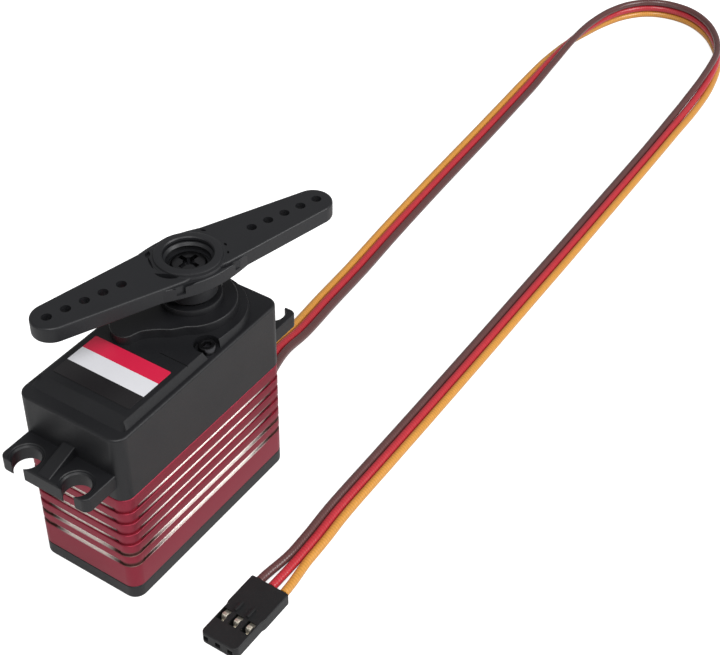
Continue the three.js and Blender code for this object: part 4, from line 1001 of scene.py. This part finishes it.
def flange_outline():
    """The hub's swelling: its half width is 4.7 mm, plus 1.8 mm times a cosine that reaches zero
    at its ends."""
    reach = 8.6
    x = np.linspace(-reach, reach, 41)
    half = 4.7 + 1.8 * np.cos(x / reach * math.pi / 2)
    front = np.stack([x, -half], axis=1)
    return np.vstack([front, -front])


def slit(stations, width, depth):
    """A curved cut through stations of (radius, degrees), narrowing to a point at both ends: its
    half width is the sine of the share of the way along it."""
    share = np.linspace(0, 1, 24)
    known = np.linspace(0, 1, len(stations))
    radius, degrees = (np.interp(share, known, column) for column in np.array(stations, float).T)
    line = np.stack([radius * np.cos(np.radians(degrees)), radius * np.sin(np.radians(degrees))], axis=1)
    ahead = np.gradient(line, axis=0)
    ahead /= np.linalg.norm(ahead, axis=1)[:, None]
    half = (0.03 + width / 2 * np.sin(share * math.pi))[:, None]
    beside = half * np.stack([ahead[:, 1], -ahead[:, 0]], axis=1)
    return straight(np.vstack([line + beside, (line - beside)[::-1]]), HORN_TOP - depth, HORN_TOP + 2)


# Each moulding slit's stations, greatest width and depth.
HUB_SLITS = [
    ([(6.35, 134), (6.45, 150)], 0.8, 0.5),
    ([(6.25, 148), (6.15, 162), (6.2, 177)], 0.28, 0.5),
    ([(6.75, 187), (6.2, 203), (5.75, 223)], 0.95, 1.7),
    ([(8.25, 220), (7.0, 235), (6.35, 252)], 0.42, 1.9),
    ([(6.0, 293), (6.75, 305), (8.2, 318)], 0.5, 1.9),
    ([(6.3, 326), (6.3, 333)], 0.35, 0.5),
    ([(6.4, 345), (6.35, 353)], 0.35, 0.5),
    ([(6.8, 32), (6.8, 41)], 0.45, 0.5),
]


def make_horn():
    """The arms' outline carried up, with the flange, disc, neck and key joined on, the slits cut,
    the ring joined on, and the holes and the recess cut. It is made on the axis and then placed."""
    horn = shaped("double_horn", carried(arms_outline(), rounded_wall(HORN_BOTTOM, HORN_TOP, 0.2, 0.4, 6)))
    flange = carried(flange_outline(), rounded_wall(HORN_BOTTOM, HORN_TOP - 0.42, 0.2, 0.3, 6))
    disc = [(6.1, HORN_TOP - 1), (6.1, HORN_TOP - 0.2), (5.95, HORN_TOP + 0.05), (5.6, HORN_TOP + 0.12)]
    neck = [
        (4.3, HUB_BOTTOM), (4.45, HUB_BOTTOM + 0.15),
        (4.6, HORN_BOTTOM - 0.4), (4.9, HORN_BOTTOM - 0.1), (5.3, HORN_BOTTOM + 0.2),
    ]
    key = spun(block(4.2, 5.1, -0.4, 0.4, HUB_BOTTOM + 0.9, HORN_BOTTOM + 0.1), KEY_ANGLE)
    combined(horn, "UNION", flange, turned(0, 0, disc, 96), turned(0, 0, neck, 96), key)
    combined(horn, "DIFFERENCE", *[slit(*cut) for cut in HUB_SLITS])
    ring = [
        (5.6, HORN_TOP - 1), (5.6, HORN_TOP + 0.2), (5.5, HORN_TOP + 0.38),
        (5.25, HORN_TOP + 0.5), (4.3, HORN_TOP + 0.5),
    ]
    combined(horn, "UNION", turned(0, 0, ring, 96))
    undercut, lip = HORN_TOP - 0.45, HORN_TOP - 0.1
    recess = [
        (3.5, RECESS_FLOOR - 0.2), (3.5, RECESS_FLOOR), (RECESS_RADIUS, RECESS_FLOOR),
        (RECESS_RADIUS, HORN_TOP - 0.95), (3.65, HORN_TOP - 0.9), (4.0, undercut), (4.7, undercut),
        (4.7, lip), (4.1, lip), (4.12, HORN_TOP + 0.3), (4.4, HORN_TOP + 0.65),
    ]
    combined(
        horn, "DIFFERENCE",
        holes(HORN_HOLES, 0.85, 40, OVER_BOSS, 32),
        turned(0, 0, recess, 96),
        hole(0, 0, SPLINE_RADIUS, 39, HORN_BOTTOM, 50),
        hole(0, 0, 1.5, 40, OVER_BOSS),
    )
    spin = Matrix.Rotation(math.radians(HORN_ANGLE), 4, "Z")
    horn.data.transform(Matrix.Translation((OUTPUT_X * MM, 0, 0)) @ spin)
    nylon = moulded("horn_nylon", (0.0115, 0.0118, 0.0135), 0.42, grain=5, deep=0.01)
    finished(horn, "output", nylon, "horn")


def make_horn_screw():
    """A pan head with a crowned top and a cross recess, on a plain shank into the shaft."""
    shank, head, bottom, top, crown = 1.2, 3.0, RECESS_FLOOR - 0.2, 46.1, 0.6
    turn = np.linspace(0, math.pi / 2, 6)[:-1]
    dome = [(head - crown + crown * math.cos(t), top - crown + crown * math.sin(t) * 0.9) for t in turn]
    profile = [(shank, 38.1), (shank, bottom), (head, bottom), *dome, (1.6, top - 0.03), (0.8, top)]
    screw = shaped("centre_screw", turned(OUTPUT_X, 0, profile, 64))
    blades = cross_cut(OUTPUT_X, 0, 2.0, 0.8, top - 0.9, top + 1, HORN_ANGLE + 14)
    combined(screw, "DIFFERENCE", *blades, hole(OUTPUT_X, 0, 0.95, top - 1.1, top + 1, 24))
    finished(screw, "output", black_steel, "horn_screw")


make_horn()
make_horn_screw()


# ---- grommet and lead ends ----------------------------------------------------------------
# A rubber block clamped in the case wall, with a tapered ribbed nose that keeps the lead from
# kinking. Inside, each wire bends down to the board.

GROMMET_HALF_WIDTH, GROMMET_HALF_HEIGHT, GROMMET_CORNER = 3.2, 1.5, 0.7
NOSE_LENGTH, NOSE_RIBS, RIB_DEPTH, NOSE_TAPER = 1.2, 3, 0.12, 0.2


def make_grommet():
    """Rounded rectangles carried along X. They step in at the wall, and down the nose their half
    sizes shrink by a taper and by a sine that makes the ribs."""
    wall, share = HALF_LENGTH - WALL, np.linspace(0, 1, 13)
    nose = -RIB_DEPTH * (1 + np.sin(share * NOSE_RIBS * 2 * math.pi)) - NOSE_TAPER * share
    flange = [wall - 0.8, wall - 0.7, wall - 0.1, wall, wall + 0.01]
    x = np.array([*flange, *(HALF_LENGTH + NOSE_LENGTH * share)])
    grow = np.array([0.6, 0.7, 0.7, 0.6, 0, *nose])
    base = rounded_box_outline(-GROMMET_HALF_WIDTH, GROMMET_HALF_WIDTH,
                               -GROMMET_HALF_HEIGHT, GROMMET_HALF_HEIGHT, GROMMET_CORNER, 8)
    rings = base[None] - inward(base)[None] * grow[:, None, None]
    along = np.broadcast_to(x[:, None], rings.shape[:2])
    skin = closed_skin(np.stack([along, rings[..., 0], LEAD_EXIT_Z + rings[..., 1]], axis=2))
    rubber = moulded("soft_rubber", (0.010, 0.010, 0.011), 0.62)
    finished(shaped("grommet", skin), "housing", rubber, "lead_grommet")


def coat(material, *names):
    """Gives CAD nodes a material in place of their plain one."""
    for name in names:
        cad[name].data.materials.clear()
        cad[name].data.materials.append(material)


make_grommet()
for shade in WIRE_COLOURS:
    coat(INSULATION[shade], f"lead_tail_{shade}")


# ---- gear train, shaft and bearings -------------------------------------------------------
# Hobbed brass wheels and pinions on a hardened pin, the splined steel output shaft, and its two
# ball bearings with chromed races.

coat(plate_metal("hobbed_brass", (0.72, 0.52, 0.22), 0.3, stretch=(1, 1, 8)),
     "gear_1", "gear_2", "gear_3", "output_gear", "motor_pinion")
coat(plate_metal("ground_steel", (0.66, 0.66, 0.67), 0.24, stretch=(1, 1, 10)),
     "output_shaft", "gear_pin", "motor_shaft", "potentiometer_shaft")
coat(plate_metal("bearing_chrome", (0.8, 0.8, 0.81), 0.16, grain=1.5), *[
    f"{place}_bearing_{ring}"
    for place in ("upper", "lower")
    for ring in ("outer_ring", "inner_ring", "cage")
])


# ---- motor --------------------------------------------------------------------------------
# A nickel-plated drawn can with two ferrite magnets, a copper-wound rotor, a nylon end bell with
# tinned terminals, and two slotted screws through the case floor.

coat(plate_metal("nickel_plate", (0.55, 0.55, 0.54), 0.28, stretch=(1, 1, 0.2)), "motor_can")
coat(moulded("end_bell_nylon", (0.78, 0.74, 0.64), 0.5), "motor_end_bell")
coat(moulded("ferrite", (0.045, 0.045, 0.05), 0.7, grain=9, deep=0.03), "motor_magnet_1", "motor_magnet_2")
coat(plate_metal("copper_winding", (0.75, 0.33, 0.14), 0.35, stretch=(6, 6, 0.5)), "motor_rotor")
coat(plated_steel, "motor_screw_1", "motor_screw_2")
coat(tinned, "motor_terminal_1", "motor_terminal_2")


# ---- potentiometer and electronics --------------------------------------------------------
# The feedback potentiometer under the output shaft, and the control board with its chips and
# capacitor.

coat(moulded("potentiometer_green", (0.03, 0.14, 0.09), 0.45), "potentiometer")
coat(INSULATION["red"], *[f"potentiometer_wire_{i}" for i in (1, 2, 3)])
coat(moulded("solder_mask", (0.014, 0.1, 0.04), 0.3, grain=1.2, deep=0.02), "circuit_board")
coat(moulded("chip_resin", (0.018, 0.018, 0.02), 0.55), "controller_chip", "driver_chip_1", "driver_chip_2")
coat(moulded("sleeve_film", (0.024, 0.03, 0.08), 0.28, grain=2, deep=0.004), "capacitor")
